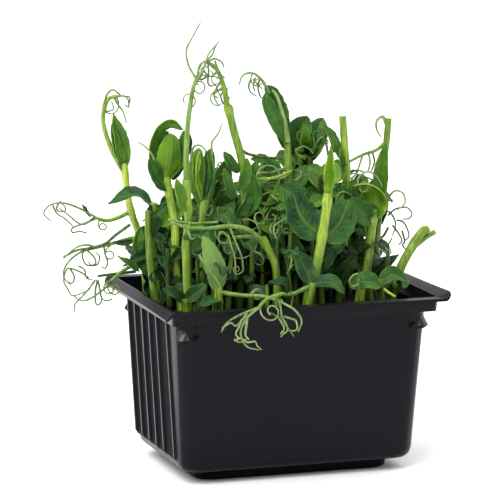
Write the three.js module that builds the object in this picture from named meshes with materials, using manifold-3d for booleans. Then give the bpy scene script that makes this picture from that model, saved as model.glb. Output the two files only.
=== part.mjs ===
// Pea shoots growing in a black tray.
// Millimetres, +Z up, +X along the tray's long side, -Y towards the front.
// Origin: the centre of the flat underside of the tray's foot.
import * as THREE from "three";
import { mergeVertices } from "three/addons/utils/BufferGeometryUtils.js";
import Module from "manifold-3d";

const wasm = await Module();
wasm.setup();

// ---- Tray ----
const FLANGE_LENGTH = 140;
const FLANGE_WIDTH = 104;
const TRAY_HEIGHT = 84;
const WALL = 1.0;
const GAP = 0.3;
const FLANGE_CORNER = 3;
const BAND_INSET = 4.8;
const BAND_CORNER = 3;
const BAND_FOOT_Z = 77.2;
const BAND_DRAFT = 0.5;
const LEAST_CORNER = 2;
const LIP_DROP = 1.4;
const ROOT_FILLET = 0.6;
const ROOT_OVERLAP = 0.15;
const WALL_TOP_Z = 76.6;
const WALL_TOP_INSET = 8.3;
const WALL_FOOT_Z = 10.2;
const WALL_FOOT_INSET = 12.5;
const BODY_CORNER = 9;
const UNDERSIDE_Z = 5.4;
const FOOT_INSET = 22.2;
const FOOT_CORNER = 8;
const FOOT_ROUND = 0.8;
const FOOT_DRAFT = 0.4;
// The rounding from underside to wall: how far in, how far up, and how much tighter the corner is.
const BOTTOM_ROUND = [
  [4.4, 0, 3],
  [2.2, 0.6, 1],
  [0.7, 2.1, 0],
];
const LEFT_SAG = 24;
const RIGHT_LIFT = 24;
const LIFT_AT_BACK = 0.4;
const RIDGE_Y = [-28.3, -12.3, -0.8, 10.7, 22.2, 33];
const RIDGE_HALF_WIDTH = 1.1;
const RIDGE_CREST = 0.4;
const RIDGE_PROUD = 1.2;
const RIDGE_ROOT = 2;
const RIDGE_FOOT_Z = 9.6;
const RIDGE_FADE = 2.4;
const RIDGE_TOP_Z = 79;
const LUG_WIDTH = 7;
const LUG_HEIGHT = 6;
const LUG_PROUD = 2.6;
const LUG_Z = 68.5;
const LUG_ROOT = 3;
const LUG_BEVEL = 1.2;
const PIP_X = 53;
const PIP_WIDTH = 2.6;
const PIP_HEIGHT = 2.6;
const PIP_PROUD = 1.2;
const PIP_Z = 69.4;
const DRAIN_DIAMETER = 5;
const DRAIN_X = [-32, 0, 32];
const DRAIN_Y = 14;

// ---- Growing medium ----
const SOIL_TOP = 75;
const SOIL_RELIEF = 0.7;
const HOLE_FLOOR = 62.7;
const HOLE_SIDES = 6;

// ---- Shoots ----
const STEM_FOOT = 63;
const STEM_STRAIGHT = 79;
const STEM_SIDES = 5;
const TENDRIL_SIDES = 3;
const STEM_TAPER = 0.85;
const TENDRIL_RADIUS = 0.6;
const BLADE = 0.8;
const LEAST_HALF_WIDTH = 0.6;
const BELLY = 0.82;
const POINTED = 1.0;
const OVAL = 0.62;
const ROUND = 0.45;
const WAVES = 1.6;
const SMALLEST_DETAIL = 0.02;

const DEG = Math.PI / 180;
const UP = new THREE.Vector3(0, 0, 1);

// ---- Solids ----

// A closed BufferGeometry as a solid that can be joined and cut.
function solidFrom(geometry) {
  const bare = geometry.index ? geometry.toNonIndexed() : geometry.clone();
  bare.deleteAttribute("normal");
  bare.deleteAttribute("uv");
  const merged = mergeVertices(bare, 1e-4);
  return new wasm.Manifold(
    new wasm.Mesh({
      numProp: 3,
      vertProperties: merged.attributes.position.array,
      triVerts: new Uint32Array(merged.index.array),
    }),
  );
}

function geometryFrom(solid) {
  const mesh = solid.getMesh();
  const positions = new Float32Array(mesh.numVert * 3);
  for (let i = 0; i < mesh.numVert; i += 1) {
    const at = i * mesh.numProp;
    positions.set(mesh.vertProperties.subarray(at, at + 3), i * 3);
  }
  const geometry = new THREE.BufferGeometry();
  geometry.setAttribute("position", new THREE.BufferAttribute(positions, 3));
  geometry.setIndex(new THREE.BufferAttribute(new Uint32Array(mesh.triVerts), 1));
  geometry.computeVertexNormals();
  return geometry;
}

function fuse(solids) {
  return solids.reduce((whole, solid) => whole.add(solid));
}

// Skins rings of equally many points. The ends are capped, or the last ring meets the first one.
function skin(rings, endless = false) {
  const count = rings[0].length;
  const positions = [];
  const index = [];
  rings.forEach((ring) => ring.forEach((p) => positions.push(p.x, p.y, p.z)));
  const last = endless ? rings.length : rings.length - 1;
  for (let r = 0; r < last; r += 1) {
    const low = r * count;
    const high = ((r + 1) % rings.length) * count;
    for (let i = 0; i < count; i += 1) {
      const j = (i + 1) % count;
      index.push(low + i, low + j, high + j);
      index.push(low + i, high + j, high + i);
    }
  }
  if (!endless) {
    const top = (rings.length - 1) * count;
    for (let i = 1; i < count - 1; i += 1) {
      index.push(0, i + 1, i);
      index.push(top, top + i, top + i + 1);
    }
  }
  const geometry = new THREE.BufferGeometry();
  geometry.setAttribute("position", new THREE.Float32BufferAttribute(positions, 3));
  geometry.setIndex(index);
  return solidFrom(geometry);
}

// Skins rows whose ends are capped by flat faces fanned from their last corner.
function skinGrid(rows) {
  const count = rows[0].length;
  const positions = [];
  const index = [];
  rows.forEach((row) => row.forEach((p) => positions.push(p.x, p.y, p.z)));
  for (let r = 0; r < rows.length - 1; r += 1) {
    for (let i = 0; i < count; i += 1) {
      const j = (i + 1) % count;
      const a = r * count;
      const b = a + count;
      index.push(a + i, b + i, b + j);
      index.push(a + i, b + j, a + j);
    }
  }
  const top = (rows.length - 1) * count;
  for (let i = 0; i < count - 2; i += 1) {
    index.push(count - 1, i, i + 1);
    index.push(top + count - 1, top + i + 1, top + i);
  }
  const geometry = new THREE.BufferGeometry();
  geometry.setAttribute("position", new THREE.Float32BufferAttribute(positions, 3));
  geometry.setIndex(index);
  return solidFrom(geometry);
}

// ---- Tray shapes ----

// A level ring round a rounded rectangle, a given inset from the flange's edge, anticlockwise.
function roundedRing(inset, z, corner, longSteps = 1, shortSteps = 1, cornerSteps = 4) {
  const halfX = FLANGE_LENGTH / 2 - inset - corner;
  const halfY = FLANGE_WIDTH / 2 - inset - corner;
  const centres = [
    [halfX, halfY],
    [-halfX, halfY],
    [-halfX, -halfY],
    [halfX, -halfY],
  ];
  const points = [];
  centres.forEach(([cx, cy], quarter) => {
    for (let i = 0; i <= cornerSteps; i += 1) {
      const angle = (quarter + i / cornerSteps) * 90 * DEG;
      const x = cx + corner * Math.cos(angle);
      const y = cy + corner * Math.sin(angle);
      points.push(new THREE.Vector3(x, y, z));
    }
    const from = points[points.length - 1].clone();
    const [nx, ny] = centres[(quarter + 1) % 4];
    const turn = (quarter + 1) * 90 * DEG;
    const to = new THREE.Vector3(nx + corner * Math.cos(turn), ny + corner * Math.sin(turn), z);
    const steps = quarter % 2 === 0 ? longSteps : shortSteps;
    for (let i = 1; i < steps; i += 1) points.push(from.clone().lerp(to, i / steps));
  });
  return points;
}

// How far the tapering wall stands in from the flange's edge at a height.
function wallInset(z) {
  const share = (WALL_TOP_Z - z) / (WALL_TOP_Z - WALL_FOOT_Z);
  return THREE.MathUtils.lerp(WALL_TOP_INSET, WALL_FOOT_INSET, share);
}

// The tray's outside from the foot up to a height, moved inwards everywhere by a gap.
function traySkin(gap, topZ) {
  const profile = [
    [FOOT_INSET + FOOT_ROUND, gap, FOOT_CORNER],
    [FOOT_INSET, FOOT_ROUND + gap, FOOT_CORNER],
    [FOOT_INSET - FOOT_DRAFT, UNDERSIDE_Z + gap, FOOT_CORNER],
  ];
  BOTTOM_ROUND.forEach(([back, rise, tighter]) => {
    profile.push([WALL_FOOT_INSET + back, UNDERSIDE_Z + rise + gap, BODY_CORNER - tighter]);
  });
  profile.push([WALL_FOOT_INSET, WALL_FOOT_Z + gap, BODY_CORNER]);
  if (topZ < WALL_TOP_Z + gap) {
    profile.push([wallInset(topZ), topZ, BODY_CORNER]);
  } else {
    profile.push([WALL_TOP_INSET, WALL_TOP_Z + gap, BODY_CORNER]);
    profile.push([BAND_INSET + BAND_DRAFT, BAND_FOOT_Z + gap, BAND_CORNER]);
    profile.push([BAND_INSET, topZ, BAND_CORNER]);
  }
  const rings = profile.map(([inset, z, corner]) => {
    return roundedRing(inset + gap, z, Math.max(corner - gap, LEAST_CORNER));
  });
  return skin(rings);
}

function smooth(from, to, x) {
  return THREE.MathUtils.smoothstep(x, from, to);
}

// How far the thin flange sags at a point of its root, in degrees: along the left end it droops,
// along the right end it lifts, most at the front, and between them it is level.
function flangeSag(root) {
  const side = FLANGE_LENGTH / 2 - BAND_INSET;
  const atLeft = 1 - smooth(-side, BAND_CORNER - side, root.x);
  const atRight = smooth(side - BAND_CORNER, side, root.x);
  const nearFront = 1 - smooth(-FLANGE_WIDTH / 3, FLANGE_WIDTH / 3, root.y);
  return LEFT_SAG * atLeft - RIGHT_LIFT * atRight * THREE.MathUtils.lerp(LIFT_AT_BACK, 1, nearFront);
}

// The flange is a bent strip with a turned-down lip, swept round the mouth.
function flange() {
  const longSteps = 1;
  const shortSteps = 3;
  const roots = roundedRing(BAND_INSET, TRAY_HEIGHT, BAND_CORNER, longSteps, shortSteps);
  const edges = roundedRing(0, TRAY_HEIGHT, FLANGE_CORNER, longSteps, shortSteps);
  const inner = -WALL - ROOT_OVERLAP;
  const profile = [
    [inner, -WALL - ROOT_FILLET],
    [ROOT_FILLET, -WALL],
    [BAND_INSET - WALL, -WALL],
    [BAND_INSET - WALL, -LIP_DROP],
    [BAND_INSET, -LIP_DROP],
    [BAND_INSET, 0],
    [0, 0],
    [inner, 0],
  ];
  const rings = profile.map(([out, rise]) =>
    roots.map((root, i) => {
      const outward = edges[i].clone().sub(root);
      const stretch = outward.length() / BAND_INSET;
      outward.normalize();
      if (out <= 0) return root.clone().addScaledVector(outward, out).addScaledVector(UP, rise);
      const sag = flangeSag(root) * DEG;
      const reach = out * stretch;
      const flat = reach * Math.cos(sag) + rise * Math.sin(sag);
      const high = rise * Math.cos(sag) - reach * Math.sin(sag);
      return root.clone().addScaledVector(outward, flat).addScaledVector(UP, high);
    }),
  );
  return skin(rings, true);
}

// Upright ridges between the flutes of an end wall. They fade into the wall at the foot.
function ridges(side) {
  return RIDGE_Y.map((y) => {
    const section = (z, proud) => {
      const x = FLANGE_LENGTH / 2 - wallInset(z);
      const corners = [
        [x - RIDGE_ROOT, -RIDGE_HALF_WIDTH],
        [x, -RIDGE_HALF_WIDTH],
        [x + proud, -RIDGE_CREST],
        [x + proud, RIDGE_CREST],
        [x, RIDGE_HALF_WIDTH],
        [x - RIDGE_ROOT, RIDGE_HALF_WIDTH],
      ];
      return corners.map(([cx, cy]) => new THREE.Vector3(side * cx, y + side * cy, z));
    };
    return skin([
      section(RIDGE_FOOT_Z, 0.1 - WALL),
      section(RIDGE_FOOT_Z + RIDGE_FADE, RIDGE_PROUD),
      section(RIDGE_TOP_Z, RIDGE_PROUD),
    ]);
  });
}

// Small sloped lugs on the rounded corners under the band, which keep stacked trays apart.
function lug(sideX, sideY) {
  const angle = Math.atan2(sideY, sideX);
  const along = new THREE.Vector3(Math.cos(angle), Math.sin(angle), 0);
  const across = new THREE.Vector3(-along.y, along.x, 0);
  const face = (z, proud, trim) => {
    const inset = wallInset(z) + BODY_CORNER;
    const centre = new THREE.Vector3(FLANGE_LENGTH / 2 - inset, FLANGE_WIDTH / 2 - inset, z);
    centre.x *= sideX;
    centre.y *= sideY;
    const side = LUG_WIDTH / 2 - trim;
    const corners = [
      [BODY_CORNER - LUG_ROOT, -side],
      [BODY_CORNER + proud, LUG_BEVEL - side],
      [BODY_CORNER + proud, side - LUG_BEVEL],
      [BODY_CORNER - LUG_ROOT, side],
    ];
    return corners.map(([out, aside]) =>
      centre.clone().addScaledVector(along, out).addScaledVector(across, aside),
    );
  };
  return skin([
    face(LUG_Z, LUG_PROUD - LUG_BEVEL, 0.3),
    face(LUG_Z + LUG_BEVEL, LUG_PROUD, 0),
    face(LUG_Z + LUG_HEIGHT, -0.3, 0.6),
  ]);
}

// A small bump on a long wall beside each lug.
function pip(sideX, sideY) {
  const section = (z, proud) => {
    const y = FLANGE_WIDTH / 2 - wallInset(z);
    const corners = [
      [PIP_X - PIP_WIDTH / 2, y - WALL / 2],
      [PIP_X + PIP_WIDTH / 2, y - WALL / 2],
      [PIP_X + PIP_WIDTH / 2, y + proud],
      [PIP_X - PIP_WIDTH / 2, y + proud],
    ];
    if (sideX * sideY < 0) corners.reverse();
    return corners.map(([px, py]) => new THREE.Vector3(sideX * px, sideY * py, z));
  };
  return skin([section(PIP_Z, PIP_PROUD), section(PIP_Z + PIP_HEIGHT, PIP_PROUD / 4)]);
}

// A round bar along Z, to cut the drain holes and the stem holes with.
function bar(x, y, radius, fromZ, toZ, sides) {
  const ring = (z) => {
    const points = [];
    for (let i = 0; i < sides; i += 1) {
      const angle = (i / sides) * 2 * Math.PI;
      points.push(new THREE.Vector3(x + radius * Math.cos(angle), y + radius * Math.sin(angle), z));
    }
    return points;
  };
  return skin([ring(fromZ), ring(toZ)]);
}

function makeTray() {
  const outside = [traySkin(0, TRAY_HEIGHT - 0.1), flange()];
  outside.push(...ridges(1), ...ridges(-1));
  [-1, 1].forEach((sideX) => {
    [-1, 1].forEach((sideY) => outside.push(lug(sideX, sideY), pip(sideX, sideY)));
  });
  let tray = fuse(outside).subtract(traySkin(WALL, TRAY_HEIGHT + 1));
  DRAIN_X.forEach((x) => {
    [-DRAIN_Y, DRAIN_Y].forEach((y) => {
      tray = tray.subtract(bar(x, y, DRAIN_DIAMETER / 2, -1, WALL + 1, 10));
    });
  });
  return tray;
}

// ---- Growing medium ----

function soilHeight(x, y) {
  const coarse = Math.sin(x * 0.21 + 0.6) * Math.cos(y * 0.27 - 0.4);
  const fine = Math.sin(x * 0.52 - y * 0.44 + 1.3);
  return SOIL_TOP + SOIL_RELIEF * (coarse + 0.5 * fine);
}

function makeSoil(shoots) {
  const stepsX = 8;
  const stepsY = 5;
  const halfX = FLANGE_LENGTH / 2;
  const halfY = FLANGE_WIDTH / 2;
  const at = (i, j, z) => {
    const x = -halfX + (2 * halfX * i) / stepsX;
    const y = -halfY + (2 * halfY * j) / stepsY;
    return new THREE.Vector3(x, y, z === undefined ? soilHeight(x, y) : z);
  };
  const rows = [];
  for (let i = 0; i <= stepsX; i += 1) {
    const row = [];
    for (let j = 0; j <= stepsY; j += 1) row.push(at(i, j));
    row.push(at(i, stepsY, -1), at(i, 0, -1));
    rows.push(row);
  }
  const mound = skinGrid(rows);
  let soil = traySkin(WALL + GAP, SOIL_TOP + 2 * SOIL_RELIEF).intersect(mound);
  shoots.forEach(({ x, y, radius }) => {
    const reach = (radius + GAP) / Math.cos(Math.PI / HOLE_SIDES);
    soil = soil.subtract(bar(x, y, reach, HOLE_FLOOR, SOIL_TOP + 6, HOLE_SIDES));
  });
  return soil;
}

// ---- Shoot shapes ----

const vec = ([x, y, z]) => new THREE.Vector3(x, y, z);

// Points on a smooth curve through the given ones, evenly spread from knot to knot.
function curvePoints(points, steps) {
  return new THREE.CatmullRomCurve3(points.map(vec), false, "catmullrom", 0.5).getPoints(steps);
}

function tangentAt(path, i) {
  const next = path[Math.min(i + 1, path.length - 1)];
  return next.clone().sub(path[Math.max(i - 1, 0)]).normalize();
}

// A tapering rod with flat ends along a path.
function rod(path, fromRadius, toRadius, sides) {
  const first = tangentAt(path, 0);
  const across = Math.abs(first.x) < 0.8 ? new THREE.Vector3(1, 0, 0) : new THREE.Vector3(0, 1, 0);
  const rings = path.map((centre, i) => {
    const tangent = tangentAt(path, i);
    across.addScaledVector(tangent, -across.dot(tangent)).normalize();
    const other = tangent.clone().cross(across);
    const radius = THREE.MathUtils.lerp(fromRadius, toRadius, i / (path.length - 1));
    const ring = [];
    for (let k = 0; k < sides; k += 1) {
      const angle = (k / sides) * 2 * Math.PI;
      const point = centre.clone().addScaledVector(across, radius * Math.cos(angle));
      ring.push(point.addScaledVector(other, radius * Math.sin(angle)));
    }
    return ring;
  });
  return skin(rings);
}

// A leaf stalk.
function stalk(points, fromRadius = 1.0, toRadius = 0.7) {
  return rod(curvePoints(points, points.length - 1), fromRadius, toRadius, 4);
}

// A tendril led through given points.
function thread(points, fromRadius = 0.7, toRadius = TENDRIL_RADIUS) {
  return rod(curvePoints(points, points.length), fromRadius, toRadius, TENDRIL_SIDES);
}

// A tendril that leaves in one direction and winds ever tighter towards one side, drifting as it goes.
function curl(start, heading, side, length, turns) {
  const ahead = vec(heading).normalize();
  const beside = vec(side);
  beside.addScaledVector(ahead, -beside.dot(ahead)).normalize();
  const out = ahead.clone().cross(beside);
  const steps = Math.max(4, Math.ceil(turns * 8) + 2);
  const path = [vec(start)];
  for (let i = 0; i < steps; i += 1) {
    const angle = turns * 2 * Math.PI * Math.pow((i + 0.5) / steps, 1.4);
    const move = ahead.clone().multiplyScalar(Math.cos(angle));
    move.addScaledVector(beside, Math.sin(angle)).addScaledVector(out, 0.2);
    path.push(path[i].clone().addScaledVector(move, length / steps));
  }
  return rod(path, TENDRIL_RADIUS + 0.1, TENDRIL_RADIUS, TENDRIL_SIDES);
}

// Half-width of a leaflet along its length, as a share of its greatest half-width.
function leafOutline(t, fullness) {
  return Math.pow(Math.sin(Math.PI * Math.pow(t, BELLY)), fullness);
}

// A leaflet with its rib through three points, its upper face looking one way, its halves folded
// up from the rib, and its edges waved. Both faces are split into triangles alike.
function leaf(rib, half, face, options = {}) {
  const { fold = 18, wave = 0.6, pointed = false, round = false, big = false } = options;
  const fullness = pointed ? POINTED : round ? ROUND : OVAL;
  const rows = big ? 6 : 4;
  const columns = big ? 4 : 2;
  const path = curvePoints(rib, rows);
  const upper = vec(face).normalize();
  const middle = [];
  const folds = [];
  path.forEach((centre, i) => {
    const t = i / rows;
    const tangent = tangentAt(path, i);
    const normal = upper.clone().addScaledVector(tangent, -upper.dot(tangent)).normalize();
    const across = tangent.clone().cross(normal);
    const share = leafOutline(t, fullness);
    const width = Math.max(LEAST_HALF_WIDTH, half * share);
    const tilt = fold * DEG * Math.min(1, 1.25 * share);
    folds.push(tilt);
    const row = [];
    for (let k = 0; k <= columns; k += 1) {
      const c = (2 * k) / columns - 1;
      const reach = Math.abs(c) * width;
      const phase = c > 0 ? 0.4 : 2.1;
      const ripple = wave * share * c * c * Math.sin(2 * Math.PI * WAVES * t + phase);
      const point = centre.clone().addScaledVector(across, Math.sign(c) * reach * Math.cos(tilt));
      row.push(point.addScaledVector(normal, reach * Math.sin(tilt) + ripple));
    }
    middle.push(row);
  });
  const positions = [];
  const width = columns + 1;
  [1, -1].forEach((faceSign) => {
    middle.forEach((row, i) =>
      row.forEach((point, k) => {
        const along = middle[Math.min(i + 1, rows)][k].clone().sub(middle[Math.max(i - 1, 0)][k]);
        const over = row[Math.min(k + 1, columns)].clone().sub(row[Math.max(k - 1, 0)]);
        const normal = over.cross(along).normalize();
        const atRib = 2 * k === columns;
        const swell = atRib ? 1 / Math.max(0.5, Math.cos(folds[i])) : 1;
        const moved = point.clone().addScaledVector(normal, (faceSign * BLADE * swell) / 2);
        positions.push(moved.x, moved.y, moved.z);
      }),
    );
  });
  const under = (rows + 1) * width;
  const index = [];
  for (let i = 0; i < rows; i += 1) {
    for (let k = 0; k < columns; k += 1) {
      const a = i * width + k;
      const b = a + 1;
      const c = a + width + 1;
      const d = a + width;
      index.push(a, b, c, a, c, d);
      index.push(under + c, under + b, under + a, under + d, under + c, under + a);
    }
  }
  const edge = [];
  for (let k = 0; k < columns; k += 1) edge.push(k);
  for (let i = 0; i < rows; i += 1) edge.push(i * width + columns);
  for (let k = columns; k > 0; k -= 1) edge.push(rows * width + k);
  for (let i = rows; i > 0; i -= 1) edge.push(i * width);
  edge.forEach((a, n) => {
    const b = edge[(n + 1) % edge.length];
    index.push(b, a, under + a, b, under + a, under + b);
  });
  const geometry = new THREE.BufferGeometry();
  geometry.setAttribute("position", new THREE.Float32BufferAttribute(positions, 3));
  geometry.setIndex(index);
  return solidFrom(geometry);
}

// ---- The shoots ----

const BRIGHT = 0x8fae3c;
const GREEN = 0x4f8a3a;
const DEEP = 0x35683a;
const shoots = [];

// One shoot: a stem that stands upright in the soil and then follows its path, with what grows on it.
function shoot(colour, radius, path, parts) {
  const [x, y] = path[0];
  const knots = [[x, y, STEM_FOOT], [x, y, STEM_STRAIGHT], ...path.slice(1)];
  const stem = rod(knots.map(vec), radius, radius * STEM_TAPER, STEM_SIDES);
  const solid = fuse([stem, ...parts]).simplify(SMALLEST_DETAIL);
  shoots.push({ x, y, radius, colour, solid });
}

// Far left: a folded leaf inside a stalk that arches over it, and tendrils reaching out to the left.
shoot(BRIGHT, 1.9, [[-55, 28], [-56, 28, 94], [-59, 28, 109], [-63, 28, 121], [-66, 28, 142]], [
  leaf([[-66, 28, 137], [-67, 28, 148], [-69, 28, 157], [-71, 28, 166]], 4.8, [0.2, -1, 0], {
    fold: 32,
    pointed: true,
    big: true,
  }),
  stalk([[-66, 28, 138], [-72, 28, 149], [-76, 28, 162], [-74, 28, 172], [-69, 28, 174]], 1.3, 0.9),
  thread([[-76, 28, 169], [-74, 28, 175], [-71, 28, 177], [-67, 28, 174], [-63, 28, 173], [-64, 27, 168]]),
  thread([[-71, 28, 174], [-69, 27, 170], [-67, 26, 167], [-65, 26, 161]]),
  curl([-70, 28, 174], [0.6, -0.3, -0.8], [-1, 0, -0.4], 17, 0.7),
  stalk([[-62, 28, 119], [-69, 28, 116], [-75, 28, 115], [-81, 28, 117]], 1.1, 0.8),
  thread([[-80, 28, 117], [-87, 30, 121], [-95, 30, 124], [-101, 32, 123], [-104, 32, 119], [-100, 32, 115]]),
  thread([[-80, 28, 117], [-87, 26, 114], [-94, 25, 119], [-99, 25, 123]]),
  curl([-77, 28, 116], [-0.6, 0.4, -0.6], [0.4, 0, -1], 16, 1.3),
  leaf([[-56, 28, 100], [-54, 35, 104], [-52, 41, 102]], 4, [0.2, 0.3, 1]),
]);

// Left: long drooping leaves and two many-branched tendrils.
shoot(GREEN, 2.1, [[-53, 13], [-55, 13, 91], [-56, 13, 102], [-57, 13, 113], [-56, 12, 125]], [
  leaf([[-56, 12, 123], [-66, 10, 130], [-79, 10, 126]], 5, [0, -0.5, 1], { pointed: true }),
  leaf([[-56, 12, 122], [-58, 7, 119], [-59, 4, 110]], 4.5, [0.3, -1, 0.5]),
  leaf([[-57, 13, 111], [-62, 10, 110], [-68, 8, 103]], 4, [0.2, -1, 0.6], { pointed: true }),
  leaf([[-57, 13, 113], [-50, 17, 119], [-42, 18, 125]], 4.5, [0, -1, 0.7]),
  leaf([[-56, 13, 102], [-63, 10, 100], [-72, 10, 96]], 3, [0, -0.6, 1], { pointed: true }),
  stalk([[-57, 13, 109], [-66, 16, 108], [-75, 16, 106], [-83, 18, 104]], 1.0, 0.8),
  thread([[-82, 18, 104], [-90, 19, 102], [-96, 20, 97], [-98, 20, 91], [-94, 20, 86]]),
  thread([[-82, 18, 104], [-88, 16, 106], [-94, 14, 105], [-100, 14, 100]]),
  curl([-76, 16, 105], [-0.7, 0.5, -0.5], [0, 0, -1], 20, 1.4),
  stalk([[-55, 13, 96], [-64, 13, 96], [-72, 12, 93], [-79, 10, 88]], 1.0, 0.8),
  thread([[-78, 10, 88], [-85, 10, 83], [-92, 8, 81], [-97, 8, 84]]),
  curl([-77, 10, 89], [-1, -0.2, 0.3], [0, 0, -1], 20, 1.3),
  curl([-79, 10, 88], [-0.4, -0.3, -1], [1, 0, 0], 18, 1.2),
]);

// Left: a rounded cup of leaves, one of them bent over like a hood, with a dark leaf beside it.
shoot(BRIGHT, 2.2, [[-46, 2], [-48, 4, 97], [-48, 4, 112], [-50, 4, 125], [-53, 4, 139]], [
  leaf([[-53, 3, 137], [-52, -1, 148], [-51, 0, 159]], 6.4, [0, 1, 0.1], {
    fold: 22,
    wave: 0.3,
    round: true,
    big: true,
  }),
  leaf([[-53, 4, 137], [-58, 6, 148], [-56, 6, 159], [-50, 6, 163], [-44, 5, 160]], 3.2, [0.5, -0.9, -0.3], {
    fold: 8,
    wave: 0.2,
    big: true,
  }),
  leaf([[-52, 4, 137], [-45, 4, 147], [-44, 3, 160]], 4.2, [-1, -0.7, 0], { fold: 30 }),
  leaf([[-52, 6, 138], [-50, 9, 148], [-50, 8, 158]], 4.5, [0, -1, 0]),
  leaf([[-51, 4, 133], [-58, 1, 139], [-62, 0, 148]], 4.6, [0.3, -1, 0.3]),
  thread([[-58, 1, 142], [-60, 1, 149], [-63, 2, 153], [-67, 2, 156]]),
]);

// Left of the middle: two upright closed leaves under a thin arching stalk.
shoot(GREEN, 1.9, [[-36, -4], [-37, -4, 100], [-38, -4, 114], [-36, -4, 128]], [
  leaf([[-36, -4, 125], [-41, -7, 139], [-40, -7, 153]], 4.6, [0.3, 1, 0], { fold: 26, round: true }),
  leaf([[-35, -4, 125], [-33, -4, 139], [-34, -5, 152]], 5.0, [-0.3, 1, 0], { fold: 30, round: true }),
  thread([[-40, -5, 136], [-43, -5, 147], [-42, -5, 153], [-39, -6, 154], [-36, -7, 151]], 0.9),
  thread([[-33, -5, 149], [-33, -5, 155], [-30, -5, 159], [-28, -5, 164]]),
  curl([-35, -4, 127], [-0.6, -0.6, 0.3], [0, 0, -1], 20, 1.1),
]);

// Tallest: a bare leaf stalk that ends in forked tendrils.
shoot(GREEN, 2.1, [[-48, -16], [-49, -16, 104], [-48, -16, 124], [-49, -16, 140]], [
  stalk([[-49, -16, 137], [-49, -16, 154], [-48, -16, 168], [-46, -16, 181], [-44, -16, 187]], 1.5, 0.9),
  thread([[-44, -16, 186], [-48, -16, 193], [-49, -16, 200], [-46, -16, 206], [-42, -16, 213]]),
  thread([[-44, -16, 186], [-41, -18, 192], [-39, -18, 198], [-34, -19, 204]]),
  curl([-45, -16, 184], [1, 0.3, 0.7], [0.4, 0, -1], 20, 1.2),
  curl([-47, -16, 173], [1, -0.5, 0.8], [0, 0, 1], 15, 0.8),
  leaf([[-48, -16, 107], [-43, -20, 113], [-36, -20, 110]], 5, [0, -1, 0.6]),
  leaf([[-48, -16, 126], [-53, -19, 132], [-55, -20, 141]], 4, [0.6, -1, 0]),
  leaf([[-49, -16, 111], [-46, -24, 115], [-42, -31, 112]], 4.5, [0.2, -0.5, 1]),
]);

// Middle: a thick arching stem with a cluster of coils at its tip.
shoot(BRIGHT, 2.2, [[-17, 2], [-15, 2, 107], [-14, 2, 129], [-16, 2, 145], [-20, 2, 159], [-23, 2, 171]], [
  stalk([[-23, 2, 169], [-25, 2, 180], [-29, 2, 189], [-34, 4, 192]], 1.5, 0.7),
  curl([-33, 4, 192], [-1, 0.2, -0.2], [0, 0, -1], 22, 1.4),
  curl([-27, 2, 186], [-0.8, -0.5, 0.7], [-0.5, 0, -1], 20, 1.3),
  curl([-25, 2, 178], [-0.9, 0.1, 0.3], [0, 0, -1], 16, 0.7),
  thread([[-25, 2, 180], [-29, 4, 176], [-26, 6, 170]]),
  leaf([[-14, 2, 125], [-8, 4, 133], [0, 7, 135]], 4, [0, -0.6, 1]),
  leaf([[-15, 2, 118], [-11, -1, 128], [-12, -2, 139]], 4.5, [-0.4, -1, 0], { fold: 30 }),
  leaf([[-15, 2, 108], [-23, 0, 112], [-28, 1, 106]], 4.5, [0, -0.8, 0.6]),
  leaf([[-15, 2, 116], [-12, 9, 121], [-12, 16, 119]], 4, [0, 0.2, 1]),
]);

// Middle top: a pod-like folded leaf under a hooked tip.
shoot(GREEN, 2.0, [[9, 16], [10, 16, 103], [12, 16, 127], [12, 16, 142], [11, 16, 152]], [
  leaf([[1, 16, 178], [4, 16, 164], [11, 16, 147]], 7.6, [0.5, -0.9, 0], { fold: 30, big: true }),
  thread([[2, 16, 174], [-1, 16, 180], [-6, 16, 184], [-11, 16, 183], [-13, 16, 178]], 1.1),
  curl([-6, 16, 184], [-0.6, 0.3, -1], [1, 0, 0], 18, 1.1),
  stalk([[11, 16, 138], [4, 16, 136], [-3, 14, 136], [-7, 13, 132]], 1.0, 0.8),
  thread([[-6, 13, 133], [-8, 12, 126], [-5, 10, 120]]),
  curl([-4, 14, 136], [-1, 0.2, 0.6], [0, 0, -1], 16, 1.1),
  leaf([[4, 16, 136], [0, 16, 142], [-6, 18, 143]], 3, [0, -1, 0.6]),
  leaf([[10, 16, 107], [12, 9, 112], [13, 2, 109]], 4, [0, -0.3, 1]),
]);

// Right of the middle, at the back: a crown of crumpled dark leaves.
shoot(DEEP, 2.0, [[24, 30], [26, 30, 100], [27, 30, 125], [26, 30, 142]], [
  leaf([[26, 30, 138], [21, 28, 151], [25, 26, 161]], 8, [0, -1, 0.3], { big: true, wave: 1.3 }),
  leaf([[26, 30, 138], [31, 30, 151], [35, 32, 159]], 6, [-0.3, -1, 0.2], { wave: 1.0 }),
  leaf([[26, 30, 132], [20, 26, 142], [13, 25, 149]], 6.5, [0, -1, 0.5], { wave: 1.0 }),
  leaf([[26, 30, 122], [32, 25, 130], [39, 24, 131]], 5, [0, -1, 0.6]),
  leaf([[26, 30, 112], [23, 22, 122], [24, 20, 135]], 9, [0, -1, 0.1], { fold: 14, big: true }),
  leaf([[26, 30, 104], [18, 23, 104], [12, 21, 97]], 5, [0, -1, 0.5]),
  leaf([[26, 30, 115], [28, 37, 119], [27, 43, 116]], 4.5, [0, 0.3, 1]),
]);

// Right: a cut stem with one narrow folded leaf.
shoot(GREEN, 2.1, [[36, 7], [37, 7, 98], [38, 7, 121], [38, 7, 137], [36, 7, 163]], [
  leaf([[37, 7, 140], [31, 6, 152], [26, 6, 160]], 3.2, [0.6, -1, 0.2], { pointed: true }),
  leaf([[38, 7, 136], [34, 4, 142], [34, 2, 150]], 2.6, [0.4, -1, 0], { pointed: true, fold: 35 }),
  leaf([[37, 7, 111], [36, 0, 115], [34, -6, 112]], 3.5, [0, -0.3, 1]),
]);

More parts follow.
